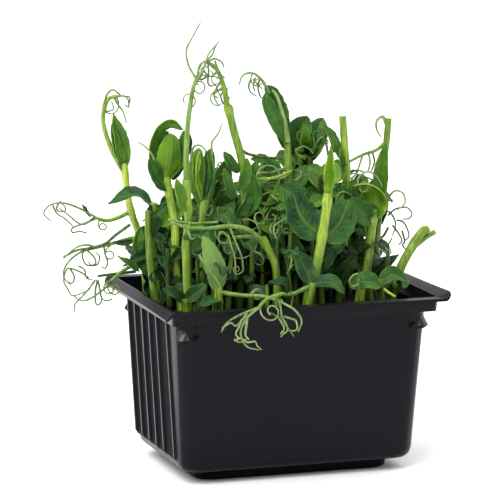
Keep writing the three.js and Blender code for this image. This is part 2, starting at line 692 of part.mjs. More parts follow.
// Right: a blunt stalk in a folded leaf, with a curled tip and a long thin stalk to the left.
shoot(BRIGHT, 1.9, [[55, 14], [56, 14, 89], [57, 14, 106], [58, 14, 123]], [
  stalk([[58, 14, 119], [59, 14, 134], [61, 14, 148], [62, 14, 160]], 1.8, 1.7),
  leaf([[58, 13, 118], [58, 12, 134], [60, 12, 150]], 4.4, [-0.7, -1, 0], {
    fold: 34,
    pointed: true,
    big: true,
  }),
  thread([[61, 14, 157], [59, 14, 161], [56, 14, 159], [56, 14, 155], [58, 13, 151]], 1.1),
  stalk([[61, 14, 149], [56, 14, 145], [49, 14, 143], [41, 15, 139]], 1.0, 0.6),
  thread([[49, 14, 143], [47, 13, 138], [45, 12, 134]]),
  thread([[52, 14, 144], [52, 12, 139], [50, 11, 135], [45, 12, 136], [41, 14, 133]]),
  leaf([[56, 14, 91], [58, 21, 94], [57, 28, 91]], 4, [0, 0.3, 1]),
]);

// Right: a yellow-green leaf that bends over like a hood, with a darker leaf under it.
shoot(BRIGHT, 2.1, [[41, -7], [44, -7, 93], [46, -7, 108], [47, -7, 120]], [
  leaf([[47, -7, 115], [49, -7, 125], [44, -8, 132], [36, -9, 132]], 7, [-0.6, -0.5, -1], {
    fold: 18,
    wave: 0.2,
    big: true,
  }),
  leaf([[47, -7, 115], [40, -10, 119], [34, -12, 127]], 5.5, [-0.1, -1, 0.3]),
  thread([[38, -9, 132], [39, -8, 136], [44, -7, 138], [49, -6, 135], [52, -5, 130]]),
  curl([44, -8, 132], [-0.8, 0, 0.8], [0, 0, -1], 14, 1.0),
]);

// Front: the brightest, thickest stem with two round leaflets and a folded leaf above.
shoot(BRIGHT, 2.4, [[7, -26], [11, -26, 95], [14, -26, 110], [16, -26, 123], [17, -26, 132]], [
  leaf([[17, -26, 128], [19, -26, 141], [18, -26, 154]], 4, [-0.8, -0.8, 0], { fold: 48, pointed: true }),
  leaf([[14, -25, 112], [6, -21, 120], [2, -19, 132]], 8.4, [0.1, -1, 0.15], {
    fold: 8,
    round: true,
    big: true,
  }),
  leaf([[15, -25, 111], [24, -21, 116], [30, -19, 127]], 8.4, [-0.1, -1, 0.2], {
    fold: 8,
    round: true,
    big: true,
  }),
]);

// Far right: a thick cut stub that forks in two.
shoot(BRIGHT, 2.4, [[55, -12], [58, -12, 87], [60, -12, 94], [69, -12, 108], [73, -12, 110]], [
  stalk([[67, -12, 103], [72, -11, 106], [77, -10, 108]], 1.6, 1.3),
  leaf([[57, -12, 83], [52, -14, 87], [48, -16, 82]], 3.4, [0, -1, 0.8]),
  leaf([[57, -12, 83], [59, -16, 86], [57, -22, 84]], 3, [0.3, -0.2, 1]),
]);

// Front left: a low node with a pale upright leaf, a flat one, and a stalk over the rim.
shoot(GREEN, 1.8, [[-37, -30], [-38, -30, 91]], [
  leaf([[-38, -30, 89], [-40, -32, 102], [-46, -32, 116]], 5, [0, -1, 0.2], { fold: 10 }),
  leaf([[-38, -30, 85], [-42, -34, 86], [-49, -36, 84]], 3.4, [0, -0.6, 1]),
  stalk([[-38, -30, 90], [-42, -28, 97], [-46, -27, 106]], 0.9, 0.7),
  stalk([[-38, -30, 89], [-29, -36, 88], [-20, -42, 88], [-14, -51, 87]], 1.2, 0.8),
  thread([[-15, -50, 87], [-10, -56, 84], [-7, -58, 79], [-9, -59, 74]]),
  thread([[-16, -48, 88], [-16, -54, 86], [-16, -58, 80], [-11, -59, 72]]),
  curl([-25, -38, 88], [0.5, 0.1, 1], [1, 0, 0], 20, 1.3),
]);

// Front middle: a low node with a leaf, and a stalk that hangs over the rim to the left.
shoot(GREEN, 2.0, [[4, -36], [6, -36, 92]], [
  leaf([[6, -36, 91], [14, -38, 92], [20, -41, 87]], 4.2, [0, -0.7, 1]),
  leaf([[6, -36, 91], [3, -33, 99], [-1, -32, 107]], 5, [0.1, -1, 0.3]),
  stalk([[6, -36, 91], [-2, -37, 88], [-9, -42, 88], [-13, -48, 90], [-22, -53, 89], [-28, -56, 85]], 1.2),
  thread([[-27, -56, 86], [-34, -58, 81], [-37, -60, 75], [-34, -60, 69], [-28, -60, 67]]),
  thread([[-27, -56, 86], [-36, -56, 83], [-43, -58, 80], [-46, -59, 76]]),
  curl([-26, -55, 86], [-0.3, -0.5, -1], [1, 0, 0], 26, 1.2),
]);

// Middle: a grey stalk that leans left and branches out level.
shoot(GREEN, 2.0, [[-5, -19], [-6, -19, 96], [-9, -19, 104], [-13, -19, 111]], [
  stalk(
    [[-12, -19, 109], [-21, -22, 116], [-30, -22, 118], [-41, -24, 118], [-51, -25, 119], [-59, -25, 122]],
    1.3,
  ),
  thread([[-30, -22, 118], [-28, -24, 112], [-25, -25, 104], [-24, -25, 97]]),
  curl([-24, -25, 99], [0, 0, -1], [-1, 0, 0], 14, 1.2),
  stalk([[-12, -19, 110], [-19, -18, 112], [-27, -18, 112]], 1.0, 0.8),
]);

// Low right: scalloped pale leaves just above the rim.
shoot(DEEP, 1.7, [[46, -22], [45, -22, 89]], [
  leaf([[45, -22, 87], [36, -25, 89], [28, -26, 87]], 5.5, [0, -1, 0.9], { big: true }),
  leaf([[45, -22, 87], [51, -22, 91], [59, -22, 87]], 4, [0, -1, 0.9]),
]);
shoot(DEEP, 1.7, [[48, 2], [49, 2, 87]], [
  leaf([[49, 2, 85], [55, 1, 91], [63, 1, 96]], 4, [0, -0.8, 1], { pointed: true }),
  leaf([[49, 2, 85], [44, 2, 91], [40, 1, 95]], 4, [0, -1, 0.6]),
]);

// Right, at the back: a thin brown stem with a dark leaf and fine tendrils out to the right.
shoot(DEEP, 1.5, [[46, 24], [47, 24, 91], [45, 24, 105], [44, 24, 115]], [
  leaf([[45, 24, 104], [56, 24, 110], [65, 22, 120]], 7, [0, -1, 0.2]),
  leaf([[44, 24, 113], [40, 22, 120], [43, 20, 128]], 4.5, [0.2, -1, 0.1]),
  thread([[63, 22, 116], [68, 22, 123], [73, 22, 122], [74, 22, 117], [69, 20, 114]]),
  thread([[63, 22, 114], [68, 25, 112], [71, 26, 106], [69, 26, 100]]),
  stalk([[45, 24, 101], [53, 22, 100], [61, 20, 101], [65, 20, 106]], 0.8, 0.6),
]);

// Middle, low: dark leaves behind the front stem.
shoot(DEEP, 1.8, [[13, -8], [12, -8, 95]], [
  leaf([[12, -8, 92], [6, -12, 100], [5, -13, 110]], 5.5, [0, -1, 0.3]),
  leaf([[12, -8, 92], [19, -12, 97], [25, -13, 102]], 5, [0, -1, 0.4]),
]);
shoot(BRIGHT, 1.8, [[0, -2], [1, -2, 98], [2, -2, 110]], [
  leaf([[2, -2, 107], [-1, -2, 119], [2, -2, 132]], 6, [-0.5, -0.9, 0], { fold: 34 }),
  leaf([[2, -2, 107], [-3, -6, 113], [-11, -8, 116]], 4.5, [0, -1, 0.3]),
]);

// Shorter leafy shoots that fill the middle and the back of the tray.
shoot(DEEP, 1.8, [[-45, 24], [-46, 24, 105]], [
  leaf([[-46, 24, 103], [-51, 22, 109], [-57, 20, 112]], 5, [0, -1, 0.6]),
  leaf([[-46, 24, 99], [-40, 22, 106], [-33, 22, 109]], 5, [0, -1, 0.5]),
  leaf([[-46, 24, 104], [-45, 31, 108], [-46, 38, 105]], 4.5, [0, 0.3, 1]),
]);
shoot(GREEN, 1.8, [[-46, 14], [-47, 14, 102]], [
  leaf([[-47, 14, 100], [-47, 12, 110], [-44, 12, 120]], 4, [0.3, -1, 0]),
  leaf([[-47, 14, 101], [-41, 9, 106], [-33, 8, 107]], 5, [0, -1, 0.4]),
]);
shoot(DEEP, 1.8, [[-22, 26], [-22, 26, 123]], [
  leaf([[-22, 26, 121], [-18, 26, 131], [-15, 26, 142]], 5, [-0.3, -1, 0]),
  leaf([[-22, 26, 120], [-29, 22, 122], [-36, 22, 120]], 4.5, [0, -1, 0.5]),
  leaf([[-22, 26, 118], [-16, 22, 121], [-9, 22, 119]], 4.5, [0, -1, 0.4]),
  leaf([[-22, 26, 100], [-16, 24, 106], [-9, 24, 108]], 4.5, [0, -1, 0.5]),
  leaf([[-22, 26, 112], [-21, 33, 116], [-23, 40, 113]], 4.5, [0, 0.3, 1]),
]);
shoot(DEEP, 1.8, [[3, 30], [4, 30, 116]], [
  leaf([[4, 30, 114], [2, 27, 126], [6, 26, 138]], 6, [0, -1, 0.1]),
  leaf([[4, 30, 112], [-2, 26, 117], [-10, 25, 116]], 5, [0, -1, 0.5]),
  leaf([[4, 30, 98], [-2, 27, 103], [-9, 26, 104]], 5, [0, -1, 0.6]),
  leaf([[4, 30, 107], [6, 36, 111], [5, 42, 109]], 4.5, [0, 0.3, 1]),
]);
shoot(GREEN, 1.8, [[40, 18], [41, 18, 116]], [
  leaf([[41, 18, 114], [45, 17, 124], [49, 16, 131]], 4, [0.2, -1, 0]),
  leaf([[41, 18, 113], [38, 16, 122], [38, 15, 130]], 4, [-0.2, -1, 0]),
  leaf([[41, 18, 112], [47, 16, 115], [53, 16, 111]], 4, [0, -1, 0.6]),
  leaf([[41, 18, 105], [38, 25, 108], [35, 31, 105]], 3.5, [0, 0.3, 1]),
]);
shoot(GREEN, 1.8, [[-25, 12], [-24, 12, 103]], [
  leaf([[-24, 12, 100], [-19, 10, 108], [-11, 9, 111]], 5, [0, -1, 0.4]),
  leaf([[-24, 12, 101], [-27, 13, 110], [-30, 14, 119]], 4, [0.2, -1, 0]),
  leaf([[-24, 12, 97], [-27, 18, 100], [-30, 24, 97]], 3.5, [0, 0.3, 1]),
]);
shoot(DEEP, 1.8, [[-6, 12], [-6, 12, 100]], [
  leaf([[-6, 12, 98], [0, 9, 104], [4, 8, 111]], 4.5, [0, -1, 0.4]),
  leaf([[-6, 12, 96], [-12, 10, 99], [-17, 9, 95]], 4, [0, -1, 0.7]),
  leaf([[-6, 12, 92], [-7, 5, 95], [-6, -2, 93]], 3.5, [0, -0.3, 1]),
]);
shoot(DEEP, 1.7, [[30, -6], [30, -6, 86]], [
  leaf([[30, -6, 84], [33, -8, 92], [38, -8, 98]], 4, [0, -1, 0.2]),
  leaf([[30, -6, 83], [25, -9, 86], [19, -10, 84]], 4, [0, -1, 0.8]),
  leaf([[30, -6, 83], [28, 0, 87], [26, 6, 85]], 3.5, [0, 0.3, 1]),
]);
shoot(GREEN, 1.7, [[-52, -26], [-53, -26, 86]], [
  leaf([[-53, -26, 85], [-58, -28, 89], [-64, -29, 92]], 3, [0, -1, 0.6]),
  leaf([[-53, -26, 85], [-49, -30, 89], [-44, -31, 93]], 3.5, [0, -1, 0.6]),
]);

// ---- Assembly ----

const group = new THREE.Group();

function addMesh(name, solid, colour, roughness) {
  const material = new THREE.MeshStandardMaterial({ color: colour, roughness, metalness: 0 });
  const mesh = new THREE.Mesh(geometryFrom(solid), material);
  mesh.name = name;
  group.add(mesh);
}

addMesh("tray", makeTray(), 0x24242a, 0.42);
addMesh("growing_medium", makeSoil(shoots), 0x2b1d14, 0.95);
shoots.forEach(({ solid, colour }, i) => {
  addMesh("shoot_" + String(i + 1).padStart(2, "0"), solid, colour, 0.55);
});

export default group;
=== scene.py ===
"""Dresses the pea shoot tray: fine shoots, compost, plastic, a pale floor and soft light.

Lengths in the lists of shoots are in millimetres, and every object is in metres.
"""
import math
import random

import bpy
import numpy as np
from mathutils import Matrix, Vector, noise


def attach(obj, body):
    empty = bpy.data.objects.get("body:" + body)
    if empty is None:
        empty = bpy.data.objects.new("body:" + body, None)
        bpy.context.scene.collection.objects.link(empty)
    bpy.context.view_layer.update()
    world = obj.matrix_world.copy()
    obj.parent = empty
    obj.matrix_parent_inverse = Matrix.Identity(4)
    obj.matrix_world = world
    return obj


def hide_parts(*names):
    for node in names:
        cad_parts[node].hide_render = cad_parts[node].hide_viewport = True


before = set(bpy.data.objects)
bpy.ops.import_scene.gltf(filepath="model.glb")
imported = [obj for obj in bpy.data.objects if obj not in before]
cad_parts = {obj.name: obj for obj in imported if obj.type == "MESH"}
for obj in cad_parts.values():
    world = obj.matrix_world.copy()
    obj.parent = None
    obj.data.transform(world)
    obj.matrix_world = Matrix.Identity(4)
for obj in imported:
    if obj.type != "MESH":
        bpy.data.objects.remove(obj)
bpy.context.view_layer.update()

bl_info = {
    "name": "Pea Shoot Tray",
    "version": (1, 0, 0),
    "blender": (4, 5, 0),
    "location": "View3D > Sidebar > Pea Shoots",
    "description": "Grows a tray of pea shoots around its solid model",
    "category": "Object",
}

MM = 0.001

# ---- Settings a user would change ----


def colour(name, description, *rgb):
    return bpy.props.FloatVectorProperty(
        name=name, description=description, subtype="COLOR", size=3, min=0.0, max=1.0, default=rgb
    )


def thickness(name, description, metres):
    return bpy.props.FloatProperty(
        name=name, description=description, default=metres,
        min=0.0002, max=0.0012, unit="LENGTH", precision=5,
    )


def power(name, description, watts):
    return bpy.props.FloatProperty(
        name=name, description=description, default=watts, min=0.0, unit="POWER"
    )


def count(name, description, number, least, most):
    return bpy.props.IntProperty(
        name=name, description=description, default=number, min=least, max=most
    )


class PeaShootSettings(bpy.types.PropertyGroup):
    blade_thickness: thickness("Blade Thickness", "Thickness of a leaflet's blade", 0.0005)
    tendril_radius: thickness("Tendril Radius", "Radius of a tendril at its thin end", 0.00033)
    stem_smoothness: count("Stem Smoothness", "Steps between two knots of a stem", 7, 2, 16)
    vein_relief: bpy.props.FloatProperty(
        name="Vein Relief", description="How strongly the veins stand out in the light",
        default=0.35, min=0.0, max=1.0, subtype="FACTOR",
    )
    leaf_deep: colour("Deep Leaf", "Colour of the oldest, shaded leaves", 0.007, 0.032, 0.012)
    leaf_mid: colour("Leaf", "Colour of the full-grown leaflets", 0.038, 0.126, 0.020)
    leaf_bright: colour("Young Leaf", "Colour of the young, lit leaves", 0.115, 0.245, 0.007)
    leaf_pale: colour("Bud", "Colour of the buds and leaf edges", 0.36, 0.46, 0.06)
    leaf_underside: colour("Leaf Underside", "Bloom on the lower face of leaves", 0.22, 0.35, 0.13)
    stem_dark: colour("Shaded Stem", "Colour of the stems near the compost", 0.028, 0.052, 0.008)
    stem_mid: colour("Stem", "Colour of the stems half way up", 0.150, 0.265, 0.022)
    stem_pale: colour("Stem Tip", "Colour of the stems near the buds", 0.44, 0.55, 0.075)
    stalk_colour: colour("Stalk", "Colour of the waxy side stalks", 0.135, 0.250, 0.042)
    tendril_colour: colour("Tendril", "Colour of the tendrils", 0.165, 0.250, 0.080)
    tendril_pale: colour("Lit Tendril", "Colour of the lightest tendrils", 0.36, 0.46, 0.17)
    plastic: colour("Plastic", "Colour of the tray", 0.0035, 0.0035, 0.0060)
    compost: colour("Compost", "Colour of the damp compost", 0.012, 0.009, 0.006)
    crumbs: count("Crumbs", "Number of loose crumbs on the compost", 260, 0, 600)
    floor_colour: colour("Floor", "Colour of the floor", 0.9, 0.9, 0.9)
    key_power: power("Key Light", "Power of the large soft light on the left", 34.0)
    fill_power: power("Fill Light", "Power of the soft light on the right", 4.0)
    sky_strength: bpy.props.FloatProperty(
        name="Surround", description="Brightness of the room around the object",
        default=0.97, min=0.0,
    )


# ---- The shoots: each one's stem, what grows on it, and what is too fine for the solids ----

# Tones run from 0, a deep blue-green, over 0.5, a full green, to 1, a pale yellow-green.
PALE = {"leaf": 0.50, "stem": (0.28, 0.92), "slot": "shoot_bright"}
BRIGHT = {"leaf": 0.54, "stem": (0.54, 0.72), "slot": "shoot_bright"}
OLIVE = {"leaf": 0.40, "stem": (0.24, 0.50), "slot": "shoot_bright"}
GREEN = {"leaf": 0.34, "stem": (0.43, 0.54), "slot": "shoot_green"}
# DEEP is the darkest set: on the low shoots and those at the back, its dark tones also paint the
# shade deep in the foliage.
DEEP = {"leaf": 0.16, "stem": (0.06, 0.28), "slot": "shoot_deep"}

# How full a leaf's outline is: the lower, the fuller.
POINTED = 1.0
OVAL = 0.62
ROUND = 0.45


def shoot(name, tones, radius, path, parts, fine=()):
    return {
        "name": name, "tones": tones, "radius": radius, "path": path, "parts": parts, "fine": fine
    }


def flat(y, *spots):
    """A path in an upright plane, from its places across and up."""
    return [(x, y, z) for x, z in spots]


def leaf(
    rib, half, face, tone=None, fold=18, wave=0.6, pointed=False, round=False, big=False,
    grid=None, bloom=0.35,
):
    return {
        "kind": "leaf", "rib": rib, "half": half, "face": face, "fold": math.radians(fold),
        "wave": wave, "fullness": POINTED if pointed else ROUND if round else OVAL,
        "grid": grid or ("big" if big else "plain"), "tone": tone, "bloom": bloom,
    }


def stalk(points, start=1.0, end=0.7, tone=None):
    return {"kind": "stalk", "points": points, "radii": (start, end), "tone": tone}


def thread(points, start=0.7, tone=None):
    return {"kind": "thread", "points": points, "start": start, "tone": tone}


def hair(points, tone):
    """The thinnest thread."""
    return thread(points, 0.6, tone)


def curl(start, heading, side, length, turns, tone=None):
    return {"kind": "curl", "winding": (start, heading, side, length, turns), "tone": tone}


TALL_SHOOTS = [
    # Far left: a folded leaf inside a stalk that arches over it, and tendrils reaching out to the
    # left.
    shoot("shoot_01", PALE, 1.9,
        [(-55, 28), (-56, 28, 94), (-59, 28, 109), (-63, 28, 121), (-66, 28, 142)], [
        leaf(flat(28, (-66, 137), (-67, 148), (-69, 157), (-71, 166)), 4.8, (0.2, -1, 0), fold=32,
            pointed=True, big=True),
        stalk(flat(28, (-66, 138), (-72, 149), (-76, 162), (-74, 172), (-69, 174)), 1.3, 0.9, 0.48),
        thread([(-76, 28, 169), (-74, 28, 175), (-71, 28, 177), (-67, 28, 174), (-63, 28, 173),
            (-64, 27, 168)], 0.7, 0.36),
        thread([(-71, 28, 174), (-69, 27, 170), (-67, 26, 167), (-65, 26, 161)], 0.7, 0.36),
        curl((-70, 28, 174), (0.6, -0.3, -0.8), (-1, 0, -0.4), 17, 0.7, 0.36),
        stalk(flat(28, (-62, 119), (-69, 116), (-75, 115), (-81, 117)), 1.1, 0.8, 0.5),
        thread([(-80, 28, 117), (-87, 30, 121), (-95, 30, 124), (-101, 32, 123), (-104, 32, 119),
            (-100, 32, 115)], 0.7, 0.36),
        thread([(-80, 28, 117), (-87, 26, 114), (-94, 25, 119), (-99, 25, 123)], 0.7, 0.36),
        curl((-77, 28, 116), (-0.6, 0.4, -0.6), (0.4, 0, -1), 16, 1.3, 0.36),
        leaf([(-56, 28, 100), (-54, 35, 104), (-52, 41, 102)], 4, (0.2, 0.3, 1)),
    ], [
        hair([(-80, 28, 116), (-86, 28, 114), (-91, 29, 112), (-91, 29, 110), (-87, 30, 110),
            (-83, 30, 109)], 0.3),
        hair(flat(31, (-96, 125), (-98, 122), (-97, 120), (-94, 120), (-94, 122), (-96, 124)), 0.3),
        hair([(-100, 31, 123), (-98, 30, 119), (-95, 28, 117), (-91, 27, 113)], 0.25),
        hair(flat(28, (-75, 172), (-76, 169), (-74, 167), (-71, 168), (-72, 172)), 0.4),
        leaf(flat(29, (-82, 117), (-84, 120), (-86, 123)), 0.9, (0.3, -1, 0.3), 0.1),
        hair(flat(27, (-69, 174), (-66, 174), (-64, 172), (-64, 169), (-66, 170)), 0.35),
        leaf([(-66, 27, 142), (-70, 26, 150), (-72, 27, 161)], 2.7, (0.3, -1, 0), 0.42, fold=10,
            bloom=1.0),
    ]),
    # Tallest: a bare leaf stalk that ends in forked tendrils.
    shoot("shoot_05", GREEN, 2.1, [(-48, -16), (-49, -16, 104), (-48, -16, 124), (-49, -16, 140)], [
        stalk(flat(-16, (-49, 137), (-49, 154), (-48, 168), (-46, 181), (-44, 187)), 1.5, 0.9),
        thread(flat(-16, (-44, 186), (-48, 193), (-49, 200), (-46, 206), (-42, 213))),
        thread([(-44, -16, 186), (-41, -18, 192), (-39, -18, 198), (-34, -19, 204)]),
        curl((-45, -16, 184), (1, 0.3, 0.7), (0.4, 0, -1), 20, 1.2),
        curl((-47, -16, 173), (1, -0.5, 0.8), (0, 0, 1), 15, 0.8),
        leaf([(-48, -16, 107), (-43, -20, 113), (-36, -20, 110)], 5, (0, -1, 0.6), 0.24),
        leaf([(-48, -16, 126), (-53, -19, 132), (-55, -20, 141)], 4, (0.6, -1, 0), 0.5),
        leaf([(-49, -16, 111), (-46, -24, 115), (-42, -31, 112)], 4.5, (0.2, -0.5, 1), 0.24),
    ], [
        thread(flat(-16, (-44, 187), (-43, 191), (-41, 194), (-39, 195)), 0.7, 0.35),
        thread([(-44, -16, 185), (-41, -15, 189), (-39, -14, 194), (-36, -14, 197),
            (-34, -13, 201), (-32, -12, 203)], 0.7, 0.3),
        hair([(-38, -14, 194), (-34, -12, 195), (-30, -10, 193), (-28, -8, 190)], 0.3),
        hair([(-38, -14, 194), (-35, -12, 191), (-32, -10, 189), (-30, -8, 187), (-27, -6, 185)],
            0.35),
        hair([(-38, -14, 194), (-37, -12, 189), (-37, -11, 184), (-35, -9, 182), (-32, -7, 182),
            (-30, -6, 178), (-27, -4, 173)], 0.3),
        hair([(-42, -16, 186), (-36, -12, 187), (-29, -8, 185)], 0.25),
        hair(flat(-15, (-41, 191), (-39, 188), (-41, 186), (-43, 187)), 0.3),
        hair([(-34, -12, 194), (-32, -10, 190), (-33, -8, 187), (-34, -6, 189)], 0.3),
    ]),
    # Middle: a thick arching stem with a cluster of coils at its tip.
    shoot("shoot_06", OLIVE, 2.2,
        [(-17, 2), (-15, 2, 107), (-14, 2, 129), (-16, 2, 145), (-20, 2, 159), (-23, 2, 171)], [
        stalk([(-23, 2, 169), (-25, 2, 180), (-29, 2, 189), (-34, 4, 192)], 1.5, 0.7),
        curl((-33, 4, 192), (-1, 0.2, -0.2), (0, 0, -1), 22, 1.4),
        curl((-27, 2, 186), (-0.8, -0.5, 0.7), (-0.5, 0, -1), 20, 1.3),
        curl((-25, 2, 178), (-0.9, 0.1, 0.3), (0, 0, -1), 16, 0.7),
        thread([(-25, 2, 180), (-29, 4, 176), (-26, 6, 170)]),
        leaf([(-14, 2, 125), (-8, 4, 133), (0, 7, 135)], 4, (0, -0.6, 1), 0.4),
        leaf([(-15, 2, 118), (-11, -1, 128), (-12, -2, 139)], 4.5, (-0.4, -1, 0), 0.42, fold=30),
        leaf([(-15, 2, 108), (-23, 0, 112), (-28, 1, 106)], 4.5, (0, -0.8, 0.6), 0.38),
        leaf([(-15, 2, 116), (-12, 9, 121), (-12, 16, 119)], 4, (0, 0.2, 1), 0.3),
    ], [
        hair(flat(1, (-15, 138), (-12, 135), (-10, 131), (-11, 126), (-14, 127), (-15, 132),
            (-15, 136)), 0.45),
        hair(flat(0, (-15, 136), (-13, 132), (-13, 129)), 0.4),
        stalk([(-15, 3, 149), (-11, 5, 147), (-2, 6, 145), (6, 8, 144)], 0.8, 0.6, 0.12),
        stalk([(-15, 1, 137), (-8, -1, 136), (-1, -4, 137), (6, -6, 140)], 0.9, 0.6, 0.5),
        hair([(-23, 2, 179), (-26, 3, 176), (-25, 3, 172), (-22, 4, 171)], 0.3),
        hair([(-26, 3, 182), (-28, 4, 179), (-29, 5, 176), (-26, 6, 174)], 0.3),
        hair([(-22, 2, 175), (-24, 3, 172), (-22, 4, 168), (-19, 5, 169)], 0.35),
        leaf([(-21, 0, 127), (-24, -2, 134), (-26, -2, 142)], 3.0, (0.3, -1, 0.2), 0.42),
        leaf([(-17, 0, 131), (-15, -1, 138), (-14, 0, 146)], 3.2, (-0.3, -1, 0.2), 0.46, fold=30),
        leaf([(-17, 3, 139), (-21, 4, 144), (-24, 4, 149)], 2.8, (0, -1, 0.4), 0.3),
        leaf([(-13, 4, 134), (-10, 4, 139), (-7, 5, 144)], 2.6, (0, -1, 0.2), 0.36),
        leaf([(-18, 0, 119), (-15, -1, 124), (-13, -1, 130)], 3.0, (0.2, -1, 0.1), 0.3),
        leaf([(-19, 0, 111), (-23, -2, 117), (-26, -3, 123)], 2.8, (0.2, -1, 0.1), 0.36),
    ]),
    # Middle top: a pod-like folded leaf under a hooked tip.
    shoot("shoot_07", GREEN, 2.0,
        [(9, 16), (10, 16, 103), (12, 16, 127), (12, 16, 142), (11, 16, 152)], [
        leaf(flat(16, (1, 178), (4, 164), (11, 147)), 7.6, (0.5, -0.9, 0), 0.34, fold=30, big=True),
        thread(flat(16, (2, 174), (-1, 180), (-6, 184), (-11, 183), (-13, 178)), 1.1),
        curl((-6, 16, 184), (-0.6, 0.3, -1), (1, 0, 0), 18, 1.1),
        stalk([(11, 16, 138), (4, 16, 136), (-3, 14, 136), (-7, 13, 132)], 1.0, 0.8),
        thread([(-6, 13, 133), (-8, 12, 126), (-5, 10, 120)]),
        curl((-4, 14, 136), (-1, 0.2, 0.6), (0, 0, -1), 16, 1.1),
        leaf([(4, 16, 136), (0, 16, 142), (-6, 18, 143)], 3, (0, -1, 0.6), 0.3),
        leaf([(10, 16, 107), (12, 9, 112), (13, 2, 109)], 4, (0, -0.3, 1), 0.3),
    ], [
        hair(flat(16, (-7, 181), (-8, 178), (-7, 175), (-4, 173)), 0.25),
        hair(flat(15, (-5, 182), (-6, 178), (-5, 175)), 0.3),
        hair(flat(17, (-2, 182), (-3, 177), (-2, 173), (0, 171)), 0.3),
        hair(flat(16, (-6, 181), (-4, 179), (-1, 176)), 0.3),
        stalk([(14, 16, 137), (8, 12, 134), (0, 10, 134), (-8, 9, 133)], 0.9, 0.8, 0.62),
        hair([(-3, 10, 134), (-6, 9, 131), (-6, 8, 127), (-4, 8, 124)], 0.45),
        hair([(-8, 9, 133), (-12, 8, 133), (-15, 7, 129), (-14, 7, 125), (-11, 7, 124),
            (-9, 7, 126), (-10, 7, 130)], 0.4),
        hair([(-6, 9, 132), (-9, 8, 130), (-9, 7, 125), (-6, 7, 123), (-4, 7, 126)], 0.4),
        hair([(-8, 9, 133), (-10, 8, 136), (-13, 8, 136), (-15, 8, 134), (-14, 7, 131)], 0.42),
        stalk([(11, 14, 151), (9, 13, 160), (7, 13, 167), (5, 13, 173), (3, 14, 176)], 1.5, 0.5,
            0.66),
        leaf([(11, 14, 150), (5, 12, 160), (0, 11, 169), (-1, 12, 175)], 3.9, (0.1, -1, 0.1), 0.3,
            fold=10, bloom=0.7),
    ]),
    # Right: a cut stem with one narrow folded leaf.
    shoot("shoot_09", GREEN, 2.1,
        [(36, 7), (37, 7, 98), (38, 7, 121), (38, 7, 137), (36, 7, 163)], [
        leaf([(37, 7, 140), (31, 6, 152), (26, 6, 160)], 3.2, (0.6, -1, 0.2), 0.35, pointed=True),
        leaf([(38, 7, 136), (34, 4, 142), (34, 2, 150)], 2.6, (0.4, -1, 0), 0.4, fold=35,
            pointed=True),
        leaf([(37, 7, 111), (36, 0, 115), (34, -6, 112)], 3.5, (0, -0.3, 1), 0.2),
    ], [
        stalk([(25, 6, 158), (27, 5, 151), (28, 4, 144)], 0.7, 0.5, 0.1),
        stalk([(28, 7, 157), (30, 6, 151), (31, 5, 146)], 0.6, 0.5, 0.1),
    ]),
    # Right: a blunt stalk in a folded leaf, with a curled tip and a long thin stalk to the left.
    shoot("shoot_10", OLIVE, 1.9, [(55, 14), (56, 14, 89), (57, 14, 106), (58, 14, 123)], [
        stalk(flat(14, (58, 119), (59, 134), (61, 148), (62, 160)), 1.8, 1.7),
        leaf([(58, 13, 118), (58, 12, 134), (60, 12, 150)], 4.4, (-0.7, -1, 0), 0.5, fold=34,
            pointed=True, big=True),
        thread([(61, 14, 157), (59, 14, 161), (56, 14, 159), (56, 14, 155), (58, 13, 151)], 1.1),
        stalk([(61, 14, 149), (56, 14, 145), (49, 14, 143), (41, 15, 139)], 1.0, 0.6),
        thread([(49, 14, 143), (47, 13, 138), (45, 12, 134)]),
        thread([(52, 14, 144), (52, 12, 139), (50, 11, 135), (45, 12, 136), (41, 14, 133)]),
        leaf([(56, 14, 91), (58, 21, 94), (57, 28, 91)], 4, (0, 0.3, 1), 0.2),
    ], [
        hair(flat(12, (46, 135), (43, 136), (40, 133), (37, 129)), 0.15),
        hair(flat(13, (57, 129), (51, 132), (47, 132)), 0.2),
        hair(flat(14, (54, 144), (55, 139), (53, 134)), 0.15),
    ]),
    # Far right: a thick cut stub that forks in two.
    shoot("shoot_13", OLIVE, 2.4,
        [(55, -12), (58, -12, 87), (60, -12, 94), (69, -12, 108), (73, -12, 110)], [
        stalk([(67, -12, 103), (72, -11, 106), (77, -10, 108)], 1.6, 1.3),
        leaf([(57, -12, 83), (52, -14, 87), (48, -16, 82)], 3.4, (0, -1, 0.8), 0.3),
        leaf([(57, -12, 83), (59, -16, 86), (57, -22, 84)], 3, (0.3, -0.2, 1), 0.3),
    ]),
]

